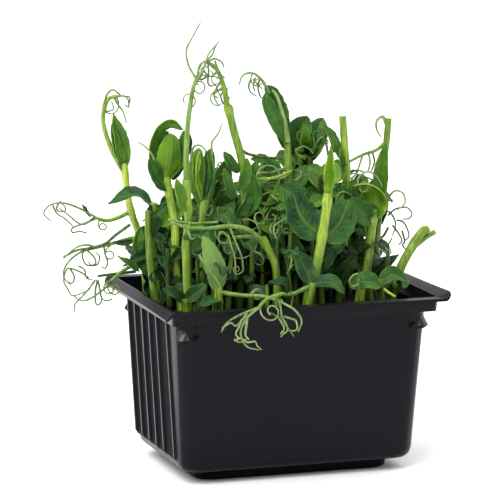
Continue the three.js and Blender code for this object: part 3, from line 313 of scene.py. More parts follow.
BUDDING_SHOOTS = [
    # Left: a rounded cup of leaves, one of them bent over like a hood, with a dark leaf beside it.
    shoot("shoot_03", BRIGHT, 2.2,
        [(-46, 2), (-48, 4, 97), (-48, 4, 112), (-50, 4, 125), (-53, 4, 139)], [
        leaf([(-53, 3, 137), (-52, -1, 148), (-51, 0, 159)], 6.4, (0, 1, 0.1), 0.58, fold=22,
            wave=0.3, round=True, big=True, bloom=0.0),
        leaf([(-53, 4, 137), (-58, 6, 148), (-56, 6, 159), (-50, 6, 163), (-44, 5, 160)], 3.2,
            (0.5, -0.9, -0.3), 0.5, fold=8, wave=0.2, big=True),
        leaf([(-52, 4, 137), (-45, 4, 147), (-44, 3, 160)], 4.2, (-1, -0.7, 0), 0.35, fold=30),
        leaf([(-52, 6, 138), (-50, 9, 148), (-50, 8, 158)], 4.5, (0, -1, 0), 0.3),
        leaf([(-51, 4, 133), (-58, 1, 139), (-62, 0, 148)], 4.6, (0.3, -1, 0.3), 0.28),
        thread([(-58, 1, 142), (-60, 1, 149), (-63, 2, 153), (-67, 2, 156)]),
    ], [
        stalk(flat(2, (-62, 123), (-62, 113), (-61, 99), (-58, 78)), 1.5, 1.9, 0.3),
        stalk(flat(0, (-53, 105), (-53, 95), (-52, 78)), 1.2, 1.5, 0.05),
        stalk(flat(4, (-47, 103), (-46, 91), (-47, 77)), 1.2, 1.4, 0.0),
        leaf([(-48, 8, 136), (-44, 9, 145), (-41, 9, 153), (-41, 9, 160)], 3.3, (0, -1, 0.1), 0.1,
            fold=6),
        leaf([(-52, 6, 138), (-56, 8, 147), (-56, 8, 155), (-50, 8, 159)], 3.8, (0.3, -1, 0), 0.4,
            fold=6),
        leaf([(-51, 6, 137), (-46, 9, 144), (-46, 9, 152), (-49, 9, 158)], 3.3, (-0.3, -1, 0), 0.5,
            fold=6),
    ]),
    # Left of the middle: two upright closed leaves under a thin arching stalk.
    shoot("shoot_04", GREEN, 1.9, [(-36, -4), (-37, -4, 100), (-38, -4, 114), (-36, -4, 128)], [
        leaf([(-36, -4, 125), (-41, -7, 139), (-40, -7, 153)], 4.6, (0.3, 1, 0), 0.5, fold=26,
            round=True, bloom=0.0),
        leaf([(-35, -4, 125), (-33, -4, 139), (-34, -5, 152)], 5.0, (-0.3, 1, 0), 0.36, fold=30,
            round=True, bloom=0.1),
        thread([(-40, -5, 136), (-43, -5, 147), (-42, -5, 153), (-39, -6, 154), (-36, -7, 151)],
            0.9),
        thread(flat(-5, (-33, 149), (-33, 155), (-30, 159), (-28, 164))),
        curl((-35, -4, 127), (-0.6, -0.6, 0.3), (0, 0, -1), 20, 1.1),
    ], [
        leaf([(-39, -8, 129), (-43, -12, 142), (-41, -12, 152)], 1.7, (0.3, -1, 0), 0.68, fold=44),
        leaf([(-38, -8, 129), (-38, -12, 141), (-38, -11, 152)], 1.5, (-0.2, -1, 0), 0.2, fold=44),
        leaf([(-39, -8, 130), (-44, -11, 141), (-43, -10, 151)], 1.5, (0.5, -1, 0), 0.52, fold=40),
        leaf([(-37, -8, 130), (-35, -11, 140), (-35, -10, 150)], 1.5, (-0.5, -1, 0), 0.42, fold=40),
    ]),
    # Right: a yellow-green leaf that bends over like a hood, with a darker leaf under it.
    shoot("shoot_11", BRIGHT, 2.1, [(41, -7), (44, -7, 93), (46, -7, 108), (47, -7, 120)], [
        leaf([(47, -7, 115), (49, -7, 125), (44, -8, 132), (36, -9, 132)], 7, (-0.6, -0.5, -1),
            0.66, wave=0.2, big=True),
        leaf([(47, -7, 115), (40, -10, 119), (34, -12, 127)], 5.5, (-0.1, -1, 0.3), 0.3),
        thread([(38, -9, 132), (39, -8, 136), (44, -7, 138), (49, -6, 135), (52, -5, 130)]),
        curl((44, -8, 132), (-0.8, 0, 0.8), (0, 0, -1), 14, 1.0),
    ], [
        leaf([(34, -3, 122), (32, -4, 128), (34, -4, 132)], 3.0, (0.2, -1, 0.2), 0.42),
        leaf([(38, -3, 124), (37, -4, 129), (37, -4, 134)], 2.8, (-0.2, -1, 0.2), 0.5),
        hair([(36, -6, 127), (32, -7, 129), (29, -7, 128), (28, -7, 124), (30, -7, 122),
            (33, -7, 124)], 0.45),
    ]),
    # Front: the brightest, thickest stem with two round leaflets and a folded leaf above.
    shoot("shoot_12", BRIGHT, 2.4,
        [(7, -26), (11, -26, 95), (14, -26, 110), (16, -26, 123), (17, -26, 132)], [
        leaf(flat(-26, (17, 128), (19, 141), (18, 154)), 4, (-0.8, -0.8, 0), 0.72, fold=48,
            pointed=True),
        leaf([(14, -25, 112), (6, -21, 120), (2, -19, 132)], 8.4, (0.1, -1, 0.15), 0.12, fold=8,
            round=True, big=True),
        leaf([(15, -25, 111), (24, -21, 116), (30, -19, 127)], 8.4, (-0.1, -1, 0.2), 0.24, fold=8,
            round=True, big=True),
    ]),
    shoot("shoot_21", BRIGHT, 1.8, [(0, -2), (1, -2, 98), (2, -2, 110)], [
        leaf(flat(-2, (2, 107), (-1, 119), (2, 132)), 6, (-0.5, -0.9, 0), 0.5, fold=34),
        leaf([(2, -2, 107), (-3, -6, 113), (-11, -8, 116)], 4.5, (0, -1, 0.3), 0.5),
    ]),
]

TRAILING_SHOOTS = [
    # Left: long drooping leaves and two many-branched tendrils.
    shoot("shoot_02", GREEN, 2.1,
        [(-53, 13), (-55, 13, 91), (-56, 13, 102), (-57, 13, 113), (-56, 12, 125)], [
        leaf([(-56, 12, 123), (-66, 10, 130), (-79, 10, 126)], 5, (0, -0.5, 1), 0.14, pointed=True),
        leaf([(-56, 12, 122), (-58, 7, 119), (-59, 4, 110)], 4.5, (0.3, -1, 0.5), 0.14),
        leaf([(-57, 13, 111), (-62, 10, 110), (-68, 8, 103)], 4, (0.2, -1, 0.6), 0.14,
            pointed=True),
        leaf([(-57, 13, 113), (-50, 17, 119), (-42, 18, 125)], 4.5, (0, -1, 0.7), 0.14),
        leaf([(-56, 13, 102), (-63, 10, 100), (-72, 10, 96)], 3, (0, -0.6, 1), 0.14, pointed=True),
        stalk([(-57, 13, 109), (-66, 16, 108), (-75, 16, 106), (-83, 18, 104)], 1.0, 0.8),
        thread([(-82, 18, 104), (-90, 19, 102), (-96, 20, 97), (-98, 20, 91), (-94, 20, 86)], 0.7,
            0.36),
        thread([(-82, 18, 104), (-88, 16, 106), (-94, 14, 105), (-100, 14, 100)], 0.7, 0.36),
        curl((-76, 16, 105), (-0.7, 0.5, -0.5), (0, 0, -1), 20, 1.4, 0.36),
        stalk([(-55, 13, 96), (-64, 13, 96), (-72, 12, 93), (-79, 10, 88)], 1.0, 0.8),
        thread([(-78, 10, 88), (-85, 10, 83), (-92, 8, 81), (-97, 8, 84)], 0.7, 0.36),
        curl((-77, 10, 89), (-1, -0.2, 0.3), (0, 0, -1), 20, 1.3, 0.36),
        curl((-79, 10, 88), (-0.4, -0.3, -1), (1, 0, 0), 18, 1.2, 0.36),
    ], [
        stalk([(-67, 14, 115), (-74, 15, 110), (-79, 16, 106), (-86, 18, 104), (-92, 19, 103),
            (-98, 20, 100)], 0.8, 0.5, 0.12),
        hair(flat(18, (-86, 104), (-89, 102), (-89, 99), (-87, 96), (-82, 96), (-81, 100),
            (-83, 102)), 0.3),
        hair(flat(18, (-79, 106), (-78, 100), (-77, 97), (-78, 94), (-80, 95)), 0.3),
        hair(flat(17, (-87, 103), (-84, 100), (-83, 97), (-85, 96), (-87, 98)), 0.25),
        hair(flat(12, (-88, 91), (-92, 94), (-97, 96), (-99, 95), (-100, 90), (-98, 86), (-96, 83),
            (-91, 84), (-87, 86)), 0.28),
        hair(flat(11, (-85, 90), (-89, 85), (-92, 82), (-95, 79), (-95, 75)), 0.3),
        hair(flat(11, (-84, 90), (-85, 85), (-85, 80), (-84, 78), (-82, 80), (-83, 85)), 0.25),
        hair(flat(10, (-84, 90), (-83, 85), (-82, 81), (-79, 80), (-77, 81)), 0.3),
        hair(flat(12, (-93, 97), (-90, 95), (-89, 91), (-86, 90)), 0.3),
        stalk([(-84, 10, 92), (-75, 13, 92), (-64, 16, 92)], 0.6, 0.8, 0.1),
        hair(flat(12, (-97, 96), (-95, 92), (-96, 89), (-99, 90)), 0.25),
        leaf([(-54, 8, 125), (-47, 8, 129), (-39, 7, 133)], 2.8, (0, -1, 0.8), 0.14),
        leaf([(-49, 6, 127), (-56, 4, 122), (-64, 4, 118)], 1.7, (0, -1, 0.5), 0.24, pointed=True),
        leaf([(-55, 6, 115), (-49, 5, 120), (-41, 5, 123)], 3.6, (0, -1, 0.5), 0.62),
        leaf([(-65, 8, 103), (-66, 6, 108), (-64, 6, 115)], 3.2, (0.2, -1, 0.2), 0.44),
        leaf([(-66, 10, 108), (-72, 9, 107), (-77, 9, 108)], 1.7, (0, -1, 0.7), 0.0, pointed=True),
        leaf([(-65, 6, 94), (-70, 4, 98), (-76, 4, 102)], 1.9, (0, -1, 0.6), 0.34, pointed=True),
    ]),
    # Front left: a low node with a pale upright leaf, a flat one, and a stalk over the rim.
    shoot("shoot_14", GREEN, 1.8, [(-37, -30), (-38, -30, 91)], [
        leaf([(-38, -30, 89), (-40, -32, 102), (-46, -32, 116)], 5, (0, 1, -0.2), 0.6, fold=10,
            bloom=0.9),
        leaf([(-38, -30, 85), (-42, -34, 86), (-49, -36, 84)], 3.4, (0, -0.6, 1), 0.14),
        stalk([(-38, -30, 90), (-42, -28, 97), (-46, -27, 106)], 0.9, 0.7),
        stalk([(-38, -30, 89), (-29, -36, 88), (-20, -42, 88), (-14, -51, 87)], 1.2, 0.8),
        thread([(-15, -50, 87), (-10, -56, 84), (-7, -58, 79), (-9, -59, 74)], 0.7, 0.4),
        thread([(-16, -48, 88), (-16, -54, 86), (-16, -58, 80), (-11, -59, 72)], 0.7, 0.3),
        curl((-25, -38, 88), (0.5, 0.1, 1), (1, 0, 0), 20, 1.3),
    ], [
        hair([(-19, -46, 82), (-16, -49, 80), (-15, -52, 78), (-14, -54, 75), (-17, -57, 73)], 0.6),
        hair([(-14, -48, 80), (-12, -50, 77), (-12, -53, 74), (-15, -56, 73), (-17, -58, 72)], 0.6),
        hair([(-13, -50, 80), (-10, -52, 79), (-8, -53, 78), (-8, -55, 75), (-10, -56, 74),
            (-13, -58, 75)], 0.6),
        hair([(-14, -40, 86), (-13, -41, 83), (-10, -42, 80), (-7, -42, 82), (-6, -43, 87),
            (-8, -44, 90)], 0.5),
        hair([(-47, -30, 107), (-43, -32, 100), (-39, -34, 94), (-39, -36, 91)], 0.55),
    ]),
    # Front middle: a low node with a leaf, and a stalk that hangs over the rim to the left.
    shoot("shoot_15", GREEN, 2.0, [(4, -36), (6, -36, 92)], [
        leaf([(6, -36, 91), (14, -38, 92), (20, -41, 87)], 4.2, (0, -0.7, 1), 0.08),
        leaf([(6, -36, 91), (3, -33, 99), (-1, -32, 107)], 5, (0.1, -1, 0.3), 0.1),
        stalk([(6, -36, 91), (-2, -37, 88), (-9, -42, 88), (-13, -48, 90), (-22, -53, 89),
            (-28, -56, 85)], 1.2, 0.7),
        thread([(-27, -56, 86), (-34, -58, 81), (-37, -60, 75), (-34, -60, 69), (-28, -60, 67)],
            0.7, 0.44),
        thread([(-27, -56, 86), (-36, -56, 83), (-43, -58, 80), (-46, -59, 76)], 0.7, 0.38),
        curl((-26, -55, 86), (-0.3, -0.5, -1), (1, 0, 0), 26, 1.2),
    ], [
        hair([(-32, -54, 83), (-35, -55, 80), (-38, -56, 78), (-41, -58, 80), (-44, -59, 79),
            (-46, -60, 78)], 0.6),
        thread([(-32, -54, 82), (-33, -56, 78), (-34, -58, 74), (-33, -60, 72)], 0.9, 0.65),
        hair([(-35, -56, 81), (-37, -58, 78), (-39, -59, 75), (-38, -61, 73)], 0.6),
        hair(flat(-60, (-40, 72), (-37, 73), (-34, 71), (-32, 71), (-30, 71), (-29, 69),
            (-27, 67)), 0.55),
        hair([(-34, -59, 72), (-37, -59, 71), (-39, -60, 72), (-40, -60, 73)], 0.5),
    ]),
    # Middle: a grey stalk that leans left and branches out level.
    shoot("shoot_16", GREEN, 2.0, [(-5, -19), (-6, -19, 96), (-9, -19, 104), (-13, -19, 111)], [
        stalk([(-12, -19, 109), (-21, -22, 116), (-30, -22, 118), (-41, -24, 118), (-51, -25, 119),
            (-59, -25, 122)], 1.3, 0.7),
        thread([(-30, -22, 118), (-28, -24, 112), (-25, -25, 104), (-24, -25, 97)]),
        curl((-24, -25, 99), (0, 0, -1), (-1, 0, 0), 14, 1.2),
        stalk([(-12, -19, 110), (-19, -18, 112), (-27, -18, 112)], 1.0, 0.8),
    ], [
        hair([(-35, -22, 116), (-31, -23, 114), (-30, -24, 110), (-28, -24, 104), (-28, -25, 100),
            (-28, -26, 95)], 0.5),
        hair(flat(-24, (-31, 113), (-34, 116), (-36, 114), (-35, 111), (-32, 111), (-31, 113)),
            0.45),
        stalk([(-60, -24, 123), (-52, -23, 121), (-44, -21, 120), (-35, -20, 120)], 0.7, 0.6, 0.5),
        hair([(-50, -24, 121), (-51, -25, 118), (-50, -27, 114), (-48, -28, 115)], 0.45),
        stalk(flat(-14, (-11, 110), (-7, 104), (-4, 95), (-3, 79)), 1.2, 1.6, 0.16),
    ]),
    # Right, at the back: a thin brown stem with a dark leaf and fine tendrils out to the right.
    shoot("shoot_19", DEEP, 1.5, [(46, 24), (47, 24, 91), (45, 24, 105), (44, 24, 115)], [
        leaf([(45, 24, 104), (56, 24, 110), (65, 22, 120)], 7, (0, -1, 0.2), 0.16),
        leaf([(44, 24, 113), (40, 22, 120), (43, 20, 128)], 4.5, (0.2, -1, 0.1), 0.2),
        thread([(63, 22, 116), (68, 22, 123), (73, 22, 122), (74, 22, 117), (69, 20, 114)]),
        thread([(63, 22, 114), (68, 25, 112), (71, 26, 106), (69, 26, 100)]),
        stalk([(45, 24, 101), (53, 22, 100), (61, 20, 101), (65, 20, 106)], 0.8, 0.6),
    ], [
        hair([(66, 24, 111), (69, 23, 114), (72, 22, 115), (75, 21, 115), (77, 20, 112),
            (75, 19, 110), (71, 18, 110)], 0.15),
        hair([(70, 22, 109), (73, 21, 108), (75, 20, 104), (75, 19, 101), (72, 18, 99)], 0.15),
        hair([(72, 20, 104), (73, 19, 99), (72, 19, 97), (74, 18, 94)], 0.15),
        hair(flat(20, (60, 100), (62, 98), (65, 98), (67, 101)), 0.25),
        hair(flat(20, (67, 107), (70, 103), (72, 99), (70, 97)), 0.2),
    ]),
]

LEAFY_SHOOTS = [
    # Right of the middle, at the back: a crown of crumpled dark leaves.
    shoot("shoot_08", DEEP, 2.0, [(24, 30), (26, 30, 100), (27, 30, 125), (26, 30, 142)], [
        leaf([(26, 30, 138), (21, 28, 151), (25, 26, 161)], 8, (0, -1, 0.3), 0.36, wave=1.3,
            big=True),
        leaf([(26, 30, 138), (31, 30, 151), (35, 32, 159)], 6, (-0.3, -1, 0.2), 0.34, wave=1.0),
        leaf([(26, 30, 132), (20, 26, 142), (13, 25, 149)], 6.5, (0, -1, 0.5), 0.26, wave=1.0),
        leaf([(26, 30, 122), (32, 25, 130), (39, 24, 131)], 5, (0, -1, 0.6), 0.2),
        leaf([(26, 30, 112), (23, 22, 122), (24, 20, 135)], 9, (0, -1, 0.1), 0.16, fold=14,
            big=True),
        leaf([(26, 30, 104), (18, 23, 104), (12, 21, 97)], 5, (0, -1, 0.5), 0.1),
        leaf([(26, 30, 115), (28, 37, 119), (27, 43, 116)], 4.5, (0, 0.3, 1), 0.1),
    ], [
        leaf([(19, 24, 123), (22, 22, 128), (26, 22, 131)], 3.4, (0, -1, 0.5), 0.5),
        leaf([(22, 26, 135), (18, 25, 141), (19, 25, 148)], 4.0, (0.2, -1, 0.2), 0.14),
        leaf([(30, 24, 122), (30, 22, 129), (29, 22, 137)], 5.0, (0, -1, 0.2), 0.02),
        leaf([(26, 29, 141), (20, 20, 149), (18, 18, 155)], 3.6, (0.3, -1, 0.2), 0.34, fold=34,
            wave=1.3, round=True),
        leaf([(26, 29, 142), (22, 19, 150), (21, 18, 158)], 3.4, (-0.4, -1, 0.2), 0.5, fold=38,
            wave=1.3),
        leaf([(26, 29, 141), (26, 19, 148), (27, 18, 155)], 3.4, (0.4, -1, 0.2), 0.28, fold=34,
            wave=1.3, round=True),
        leaf([(26, 29, 139), (19, 19, 143), (16, 17, 147)], 2.6, (0.2, -1, 0.8), 0.66, fold=40,
            wave=1.2),
        leaf([(26, 29, 139), (27, 19, 144), (29, 17, 148)], 2.8, (-0.2, -1, 0.8), 0.5, fold=40,
            wave=1.2),
        hair([(26, 29, 140), (20, 17, 142), (17, 16, 144), (16, 16, 146), (19, 16, 148),
            (22, 16, 147), (25, 16, 144)], 0.6),
        hair([(26, 29, 141), (25, 17, 145), (26, 16, 149), (29, 16, 152), (32, 16, 150),
            (31, 16, 148)], 0.3),
    ]),
    # Low right: scalloped pale leaves just above the rim.
    shoot("shoot_17", DEEP, 1.7, [(46, -22), (45, -22, 89)], [
        leaf([(45, -22, 87), (36, -25, 89), (28, -26, 87)], 5.5, (0, -1, 0.9), 0.3, big=True),
        leaf(flat(-22, (45, 87), (51, 91), (59, 87)), 4, (0, -1, 0.9), 0.3),
    ], [
        stalk([(42, -20, 89), (47, -23, 84), (51, -26, 81)], 0.8, 0.6, 1.0),
    ]),
    shoot("shoot_18", DEEP, 1.7, [(48, 2), (49, 2, 87)], [
        leaf([(49, 2, 85), (55, 1, 91), (63, 1, 96)], 4, (0, -0.8, 1), 0.05, pointed=True),
        leaf([(49, 2, 85), (44, 2, 91), (40, 1, 95)], 4, (0, -1, 0.6), 0.12),
    ]),
    # Middle, low: dark leaves behind the front stem.
    shoot("shoot_20", DEEP, 1.8, [(13, -8), (12, -8, 95)], [
        leaf([(12, -8, 92), (6, -12, 100), (5, -13, 110)], 5.5, (0, -1, 0.3), 0.22),
        leaf([(12, -8, 92), (19, -12, 97), (25, -13, 102)], 5, (0, -1, 0.4), 0.2),
    ]),
    # Shorter leafy shoots that fill the middle and the back of the tray, most of them dark, which
    # paints the shade deep in the foliage.
    shoot("shoot_22", DEEP, 1.8, [(-45, 24), (-46, 24, 105)], [
        leaf([(-46, 24, 103), (-51, 22, 109), (-57, 20, 112)], 5, (0, -1, 0.6)),
        leaf([(-46, 24, 99), (-40, 22, 106), (-33, 22, 109)], 5, (0, -1, 0.5)),
        leaf([(-46, 24, 104), (-45, 31, 108), (-46, 38, 105)], 4.5, (0, 0.3, 1)),
    ]),
    shoot("shoot_23", GREEN, 1.8, [(-46, 14), (-47, 14, 102)], [
        leaf([(-47, 14, 100), (-47, 12, 110), (-44, 12, 120)], 4, (0.3, -1, 0)),
        leaf([(-47, 14, 101), (-41, 9, 106), (-33, 8, 107)], 5, (0, -1, 0.4)),
    ]),
    shoot("shoot_24", DEEP, 1.8, [(-22, 26), (-22, 26, 123)], [
        leaf(flat(26, (-22, 121), (-18, 131), (-15, 142)), 5, (-0.3, -1, 0)),
        leaf([(-22, 26, 120), (-29, 22, 122), (-36, 22, 120)], 4.5, (0, -1, 0.5)),
        leaf([(-22, 26, 118), (-16, 22, 121), (-9, 22, 119)], 4.5, (0, -1, 0.4)),
        leaf([(-22, 26, 100), (-16, 24, 106), (-9, 24, 108)], 4.5, (0, -1, 0.5)),
        leaf([(-22, 26, 112), (-21, 33, 116), (-23, 40, 113)], 4.5, (0, 0.3, 1)),
    ]),
    shoot("shoot_25", DEEP, 1.8, [(3, 30), (4, 30, 116)], [
        leaf([(4, 30, 114), (2, 27, 126), (6, 26, 138)], 6, (0, -1, 0.1)),
        leaf([(4, 30, 112), (-2, 26, 117), (-10, 25, 116)], 5, (0, -1, 0.5)),
        leaf([(4, 30, 98), (-2, 27, 103), (-9, 26, 104)], 5, (0, -1, 0.6)),
        leaf([(4, 30, 107), (6, 36, 111), (5, 42, 109)], 4.5, (0, 0.3, 1)),
    ], [
        leaf(flat(24, (7, 130), (6, 135), (6, 139)), 5.0, (0, -1, 0.3), 0.0, round=True),
        leaf([(-3, 10, 110), (-6, 8, 119), (-4, 8, 126)], 4.2, (0.3, -1, 0.1), 0.1, round=True),
        leaf([(9, 12, 106), (9, 11, 115), (12, 11, 121)], 4.0, (-0.3, -1, 0.1), 0.08),
    ]),
    shoot("shoot_26", GREEN, 1.8, [(40, 18), (41, 18, 116)], [
        leaf([(41, 18, 114), (45, 17, 124), (49, 16, 131)], 4, (0.2, -1, 0)),
        leaf([(41, 18, 113), (38, 16, 122), (38, 15, 130)], 4, (-0.2, -1, 0)),
        leaf([(41, 18, 112), (47, 16, 115), (53, 16, 111)], 4, (0, -1, 0.6)),
        leaf([(41, 18, 105), (38, 25, 108), (35, 31, 105)], 3.5, (0, 0.3, 1)),
    ]),
    shoot("shoot_27", GREEN, 1.8, [(-25, 12), (-24, 12, 103)], [
        leaf([(-24, 12, 100), (-19, 10, 108), (-11, 9, 111)], 5, (0, -1, 0.4)),
        leaf([(-24, 12, 101), (-27, 13, 110), (-30, 14, 119)], 4, (0.2, -1, 0)),
        leaf([(-24, 12, 97), (-27, 18, 100), (-30, 24, 97)], 3.5, (0, 0.3, 1)),
    ]),
    shoot("shoot_28", DEEP, 1.8, [(-6, 12), (-6, 12, 100)], [
        leaf([(-6, 12, 98), (0, 9, 104), (4, 8, 111)], 4.5, (0, -1, 0.4)),
        leaf([(-6, 12, 96), (-12, 10, 99), (-17, 9, 95)], 4, (0, -1, 0.7)),
        leaf([(-6, 12, 92), (-7, 5, 95), (-6, -2, 93)], 3.5, (0, -0.3, 1)),
    ]),
    shoot("shoot_29", DEEP, 1.7, [(30, -6), (30, -6, 86)], [
        leaf([(30, -6, 84), (33, -8, 92), (38, -8, 98)], 4, (0, -1, 0.2)),
        leaf([(30, -6, 83), (25, -9, 86), (19, -10, 84)], 4, (0, -1, 0.8)),
        leaf([(30, -6, 83), (28, 0, 87), (26, 6, 85)], 3.5, (0, 0.3, 1)),
    ]),
    shoot("shoot_30", GREEN, 1.7, [(-52, -26), (-53, -26, 86)], [
        leaf([(-53, -26, 85), (-58, -28, 89), (-64, -29, 92)], 3, (0, -1, 0.6), 0.06),
        leaf([(-53, -26, 85), (-49, -30, 89), (-44, -31, 93)], 3.5, (0, -1, 0.6), 0.1),
    ]),
]

ALL_SHOOTS = TALL_SHOOTS + BUDDING_SHOOTS + TRAILING_SHOOTS + LEAFY_SHOOTS


# ---- Curves ----


def smooth_path(points, steps):
    """Points on a smooth curve through the given ones."""
    knots = [Vector(p) for p in points]
    knots = [2 * knots[0] - knots[1]] + knots + [2 * knots[-1] - knots[-2]]
    spans = len(points) - 1
    path = []
    for i in range(steps + 1):
        along = i / steps * spans
        k = min(int(along), spans - 1)
        w = along - k
        a, b, c, d = knots[k : k + 4]
        start, end = (c - a) * 0.5, (d - b) * 0.5
        path.append(
            (2 * w**3 - 3 * w**2 + 1) * b
            + (w**3 - 2 * w**2 + w) * start
            + (3 * w**2 - 2 * w**3) * c
            + (w**3 - w**2) * end
        )
    return path


def between(start, end, steps):
    """Evenly spaced numbers from start to end."""
    return [start + (end - start) * i / steps for i in range(steps + 1)]


CURL_STEPS_PER_TURN = 8
CURL_SMOOTHNESS = 4
CURL_TIGHTENING = 1.4
CURL_DRIFT = 0.2


def curl_path(start, heading, side, length, turns):
    """A path that winds ever tighter towards one side, drifting as it goes."""
    ahead = Vector(heading).normalized()
    beside = Vector(side)
    beside = (beside - ahead * beside.dot(ahead)).normalized()
    out = ahead.cross(beside)
    steps = max(4, math.ceil(turns * CURL_STEPS_PER_TURN) + 2) * CURL_SMOOTHNESS
    path = [Vector(start)]
    for i in range(steps):
        angle = turns * 2 * math.pi * ((i + 0.5) / steps) ** CURL_TIGHTENING
        move = ahead * math.cos(angle) + beside * math.sin(angle) + out * CURL_DRIFT
        path.append(path[-1] + move * (length / steps))
    return path


# ---- Modelling ----


def deselect_all():
    bpy.ops.object.select_all(action="DESELECT")


def write_values(mesh, name, values):
    attribute = mesh.attributes.new(name, "FLOAT", "POINT")
    attribute.data.foreach_set("value", np.asarray(values, np.float32))


def make_rod(path, radii, tones, sides, material):
    """A tapering rod along a path in millimetres, with a tone that changes along it."""
    deselect_all()
    bpy.ops.curve.primitive_nurbs_path_add(radius=MM, location=(0, 0, 0))
    curve = bpy.context.object.data
    curve.splines.clear()
    spline = curve.splines.new("POLY")
    spline.points.add(len(path) - 1)
    spots = np.array([[*p, 1.0 / MM] for p in path]) * MM
    spline.points.foreach_set("co", spots.ravel())
    spline.points.foreach_set("radius", np.asarray(radii, float))
    curve.bevel_depth = MM
    curve.bevel_resolution = sides // 2 - 2
    curve.use_fill_caps = True
    curve.twist_mode = "MINIMUM"
    bpy.ops.object.convert(target="MESH")
    rod = bpy.context.object
    mesh = rod.data
    co = np.zeros(len(mesh.vertices) * 3)
    mesh.vertices.foreach_get("co", co)
    gaps = np.linalg.norm(co.reshape(-1, 1, 3) - spots[None, :, :3], axis=2)
    write_values(mesh, "tone", np.asarray(tones)[gaps.argmin(axis=1)])
    write_values(mesh, "underside", np.zeros(len(mesh.vertices)))
    mesh.materials.append(material)
    return rod


# The taper, the outline and the long waves of the solids, so that the fine shoots lie where
# they are.
STEM_FOOT = 63.0
STEM_STRAIGHT = 79.0
STEM_TAPER = 0.85
LEAF_BELLY = 0.82
LEAF_WAVES = 1.6
LEAF_WAVE_PHASES = (0.4, 2.1)
LEAF_LEAST_HALF = 0.35
FOLD_AT_RIB, FOLD_AT_EDGE = 0.55, 1.45

# The finer forms that the solids leave out, in millimetres and in cycles along the rib.
LEAF_GRIDS = {"big": (34, 18), "plain": (24, 12), "small": (12, 6)}
EDGE_TEETH, EDGE_TOOTH_DEPTH = 6.5, 0.025
RUFFLES, RUFFLE_SHARE = 5.2, 0.22
RIB_HALF_WIDTH, RIB_DEPTH = 0.8, 0.28
SWELLING_LENGTH, SWELLING_SHARE = 2.0, 0.28

STEM_SIDES, STALK_SIDES, TENDRIL_SIDES = 12, 8, 6
STALK_STEPS, THREAD_STEPS = 6, 7
THREAD_SLIMMING = 0.85
CURL_THICKENING = 1.2
TENDRIL_END = (0.85, 0.45)
STEM_TONE_RISE = 0.8
STALK_TONE_SHARE = 0.85
TENDRIL_TONE = 0.5
SMOOTH_BELOW = math.radians(50)


def leaf_frames(rib, face, rows):
    """The centre, the sideways direction and the normal of a leaflet in each row."""
    path = smooth_path(rib, rows)
    upper = Vector(face).normalized()
    frames = []
    for i, centre in enumerate(path):
        tangent = (path[min(i + 1, rows)] - path[max(i - 1, 0)]).normalized()
        normal = (upper - tangent * upper.dot(tangent)).normalized()
        frames.append((centre, tangent.cross(normal), normal))
    return frames


def make_leaf(shape, tone, settings, draw, material):
    """A leaflet with a folded rib, cupped halves, waved edges and a real thickness."""
    rows, columns = LEAF_GRIDS[shape["grid"]]
    frames = leaf_frames(shape["rib"], shape["face"], rows)
    ruffle = draw.uniform(0.0, 6.0)
    lean = draw.uniform(-0.06, 0.06)
    wave = shape["wave"]
    deselect_all()
    bpy.ops.mesh.primitive_grid_add(x_subdivisions=columns, y_subdivisions=rows, size=2)
    blade = bpy.context.object
    mesh = blade.data
    for vertex in mesh.vertices:
        c = vertex.co.x
        t = (vertex.co.y + 1) / 2
        centre, across, normal = frames[round(t * rows)]
        share = math.sin(math.pi * t**LEAF_BELLY) ** shape["fullness"] if 0 < t < 1 else 0.0
        width = max(LEAF_LEAST_HALF, shape["half"] * share)
        width *= 1 + EDGE_TOOTH_DEPTH * math.sin(2 * math.pi * EDGE_TEETH * t + ruffle + c)
        width *= 1 + lean * c
        # Each half bends evenly, from a shallow angle at the rib to a steep one at the edge.
        fold = shape["fold"] * min(1, 1.25 * share)
        far = abs(c)
        first = FOLD_AT_RIB * fold
        last = FOLD_AT_EDGE * fold
        sideways, upwards = far * width, 0.0
        if last - first > 1e-4:
            end = first + (last - first) * far
            turn = (last - first) / width
            sideways = (math.sin(end) - math.sin(first)) / turn
            upwards = (math.cos(first) - math.cos(end)) / turn
        phase = LEAF_WAVE_PHASES[0 if c > 0 else 1]
        ripple = wave * share * far**2 * math.sin(2 * math.pi * LEAF_WAVES * t + phase)
        frill = math.sin(2 * math.pi * RUFFLES * t + ruffle)
        ripple += RUFFLE_SHARE * wave * share * far**3 * frill
        groove = math.exp(-((far * width / RIB_HALF_WIDTH) ** 2))
        ripple -= RIB_DEPTH * groove * min(1.0, 2 * share)
        spot = centre + across * math.copysign(sideways, c) + normal * (upwards + ripple)
        vertex.co = spot * MM
    mesh.update()
    bpy.ops.object.modifier_add(type="SOLIDIFY")
    solidify = blade.modifiers[-1]
    solidify.thickness = settings.blade_thickness
    solidify.offset = 0.0
    solidify.use_even_offset = False
    bpy.ops.object.modifier_apply(modifier=solidify.name)
    mesh = blade.data
    total = len(mesh.vertices)
    under = np.arange(total) >= total // 2
    write_values(mesh, "underside", under * shape["bloom"])
    write_values(mesh, "tone", np.full(total, tone + draw.uniform(-0.04, 0.04)))
    mesh.materials.append(material)
    return blade


def swellings(path, radii, starts):
    """Thickens a stem where leaves and stalks leave it."""
    swollen = []
    for centre, radius in zip(path, radii):
        gaps = [(centre - start).length / SWELLING_LENGTH for start in starts]
        extra = max((math.exp(-(gap**2)) for gap in gaps), default=0.0)
        swollen.append(radius * (1 + SWELLING_SHARE * extra))
    return swollen


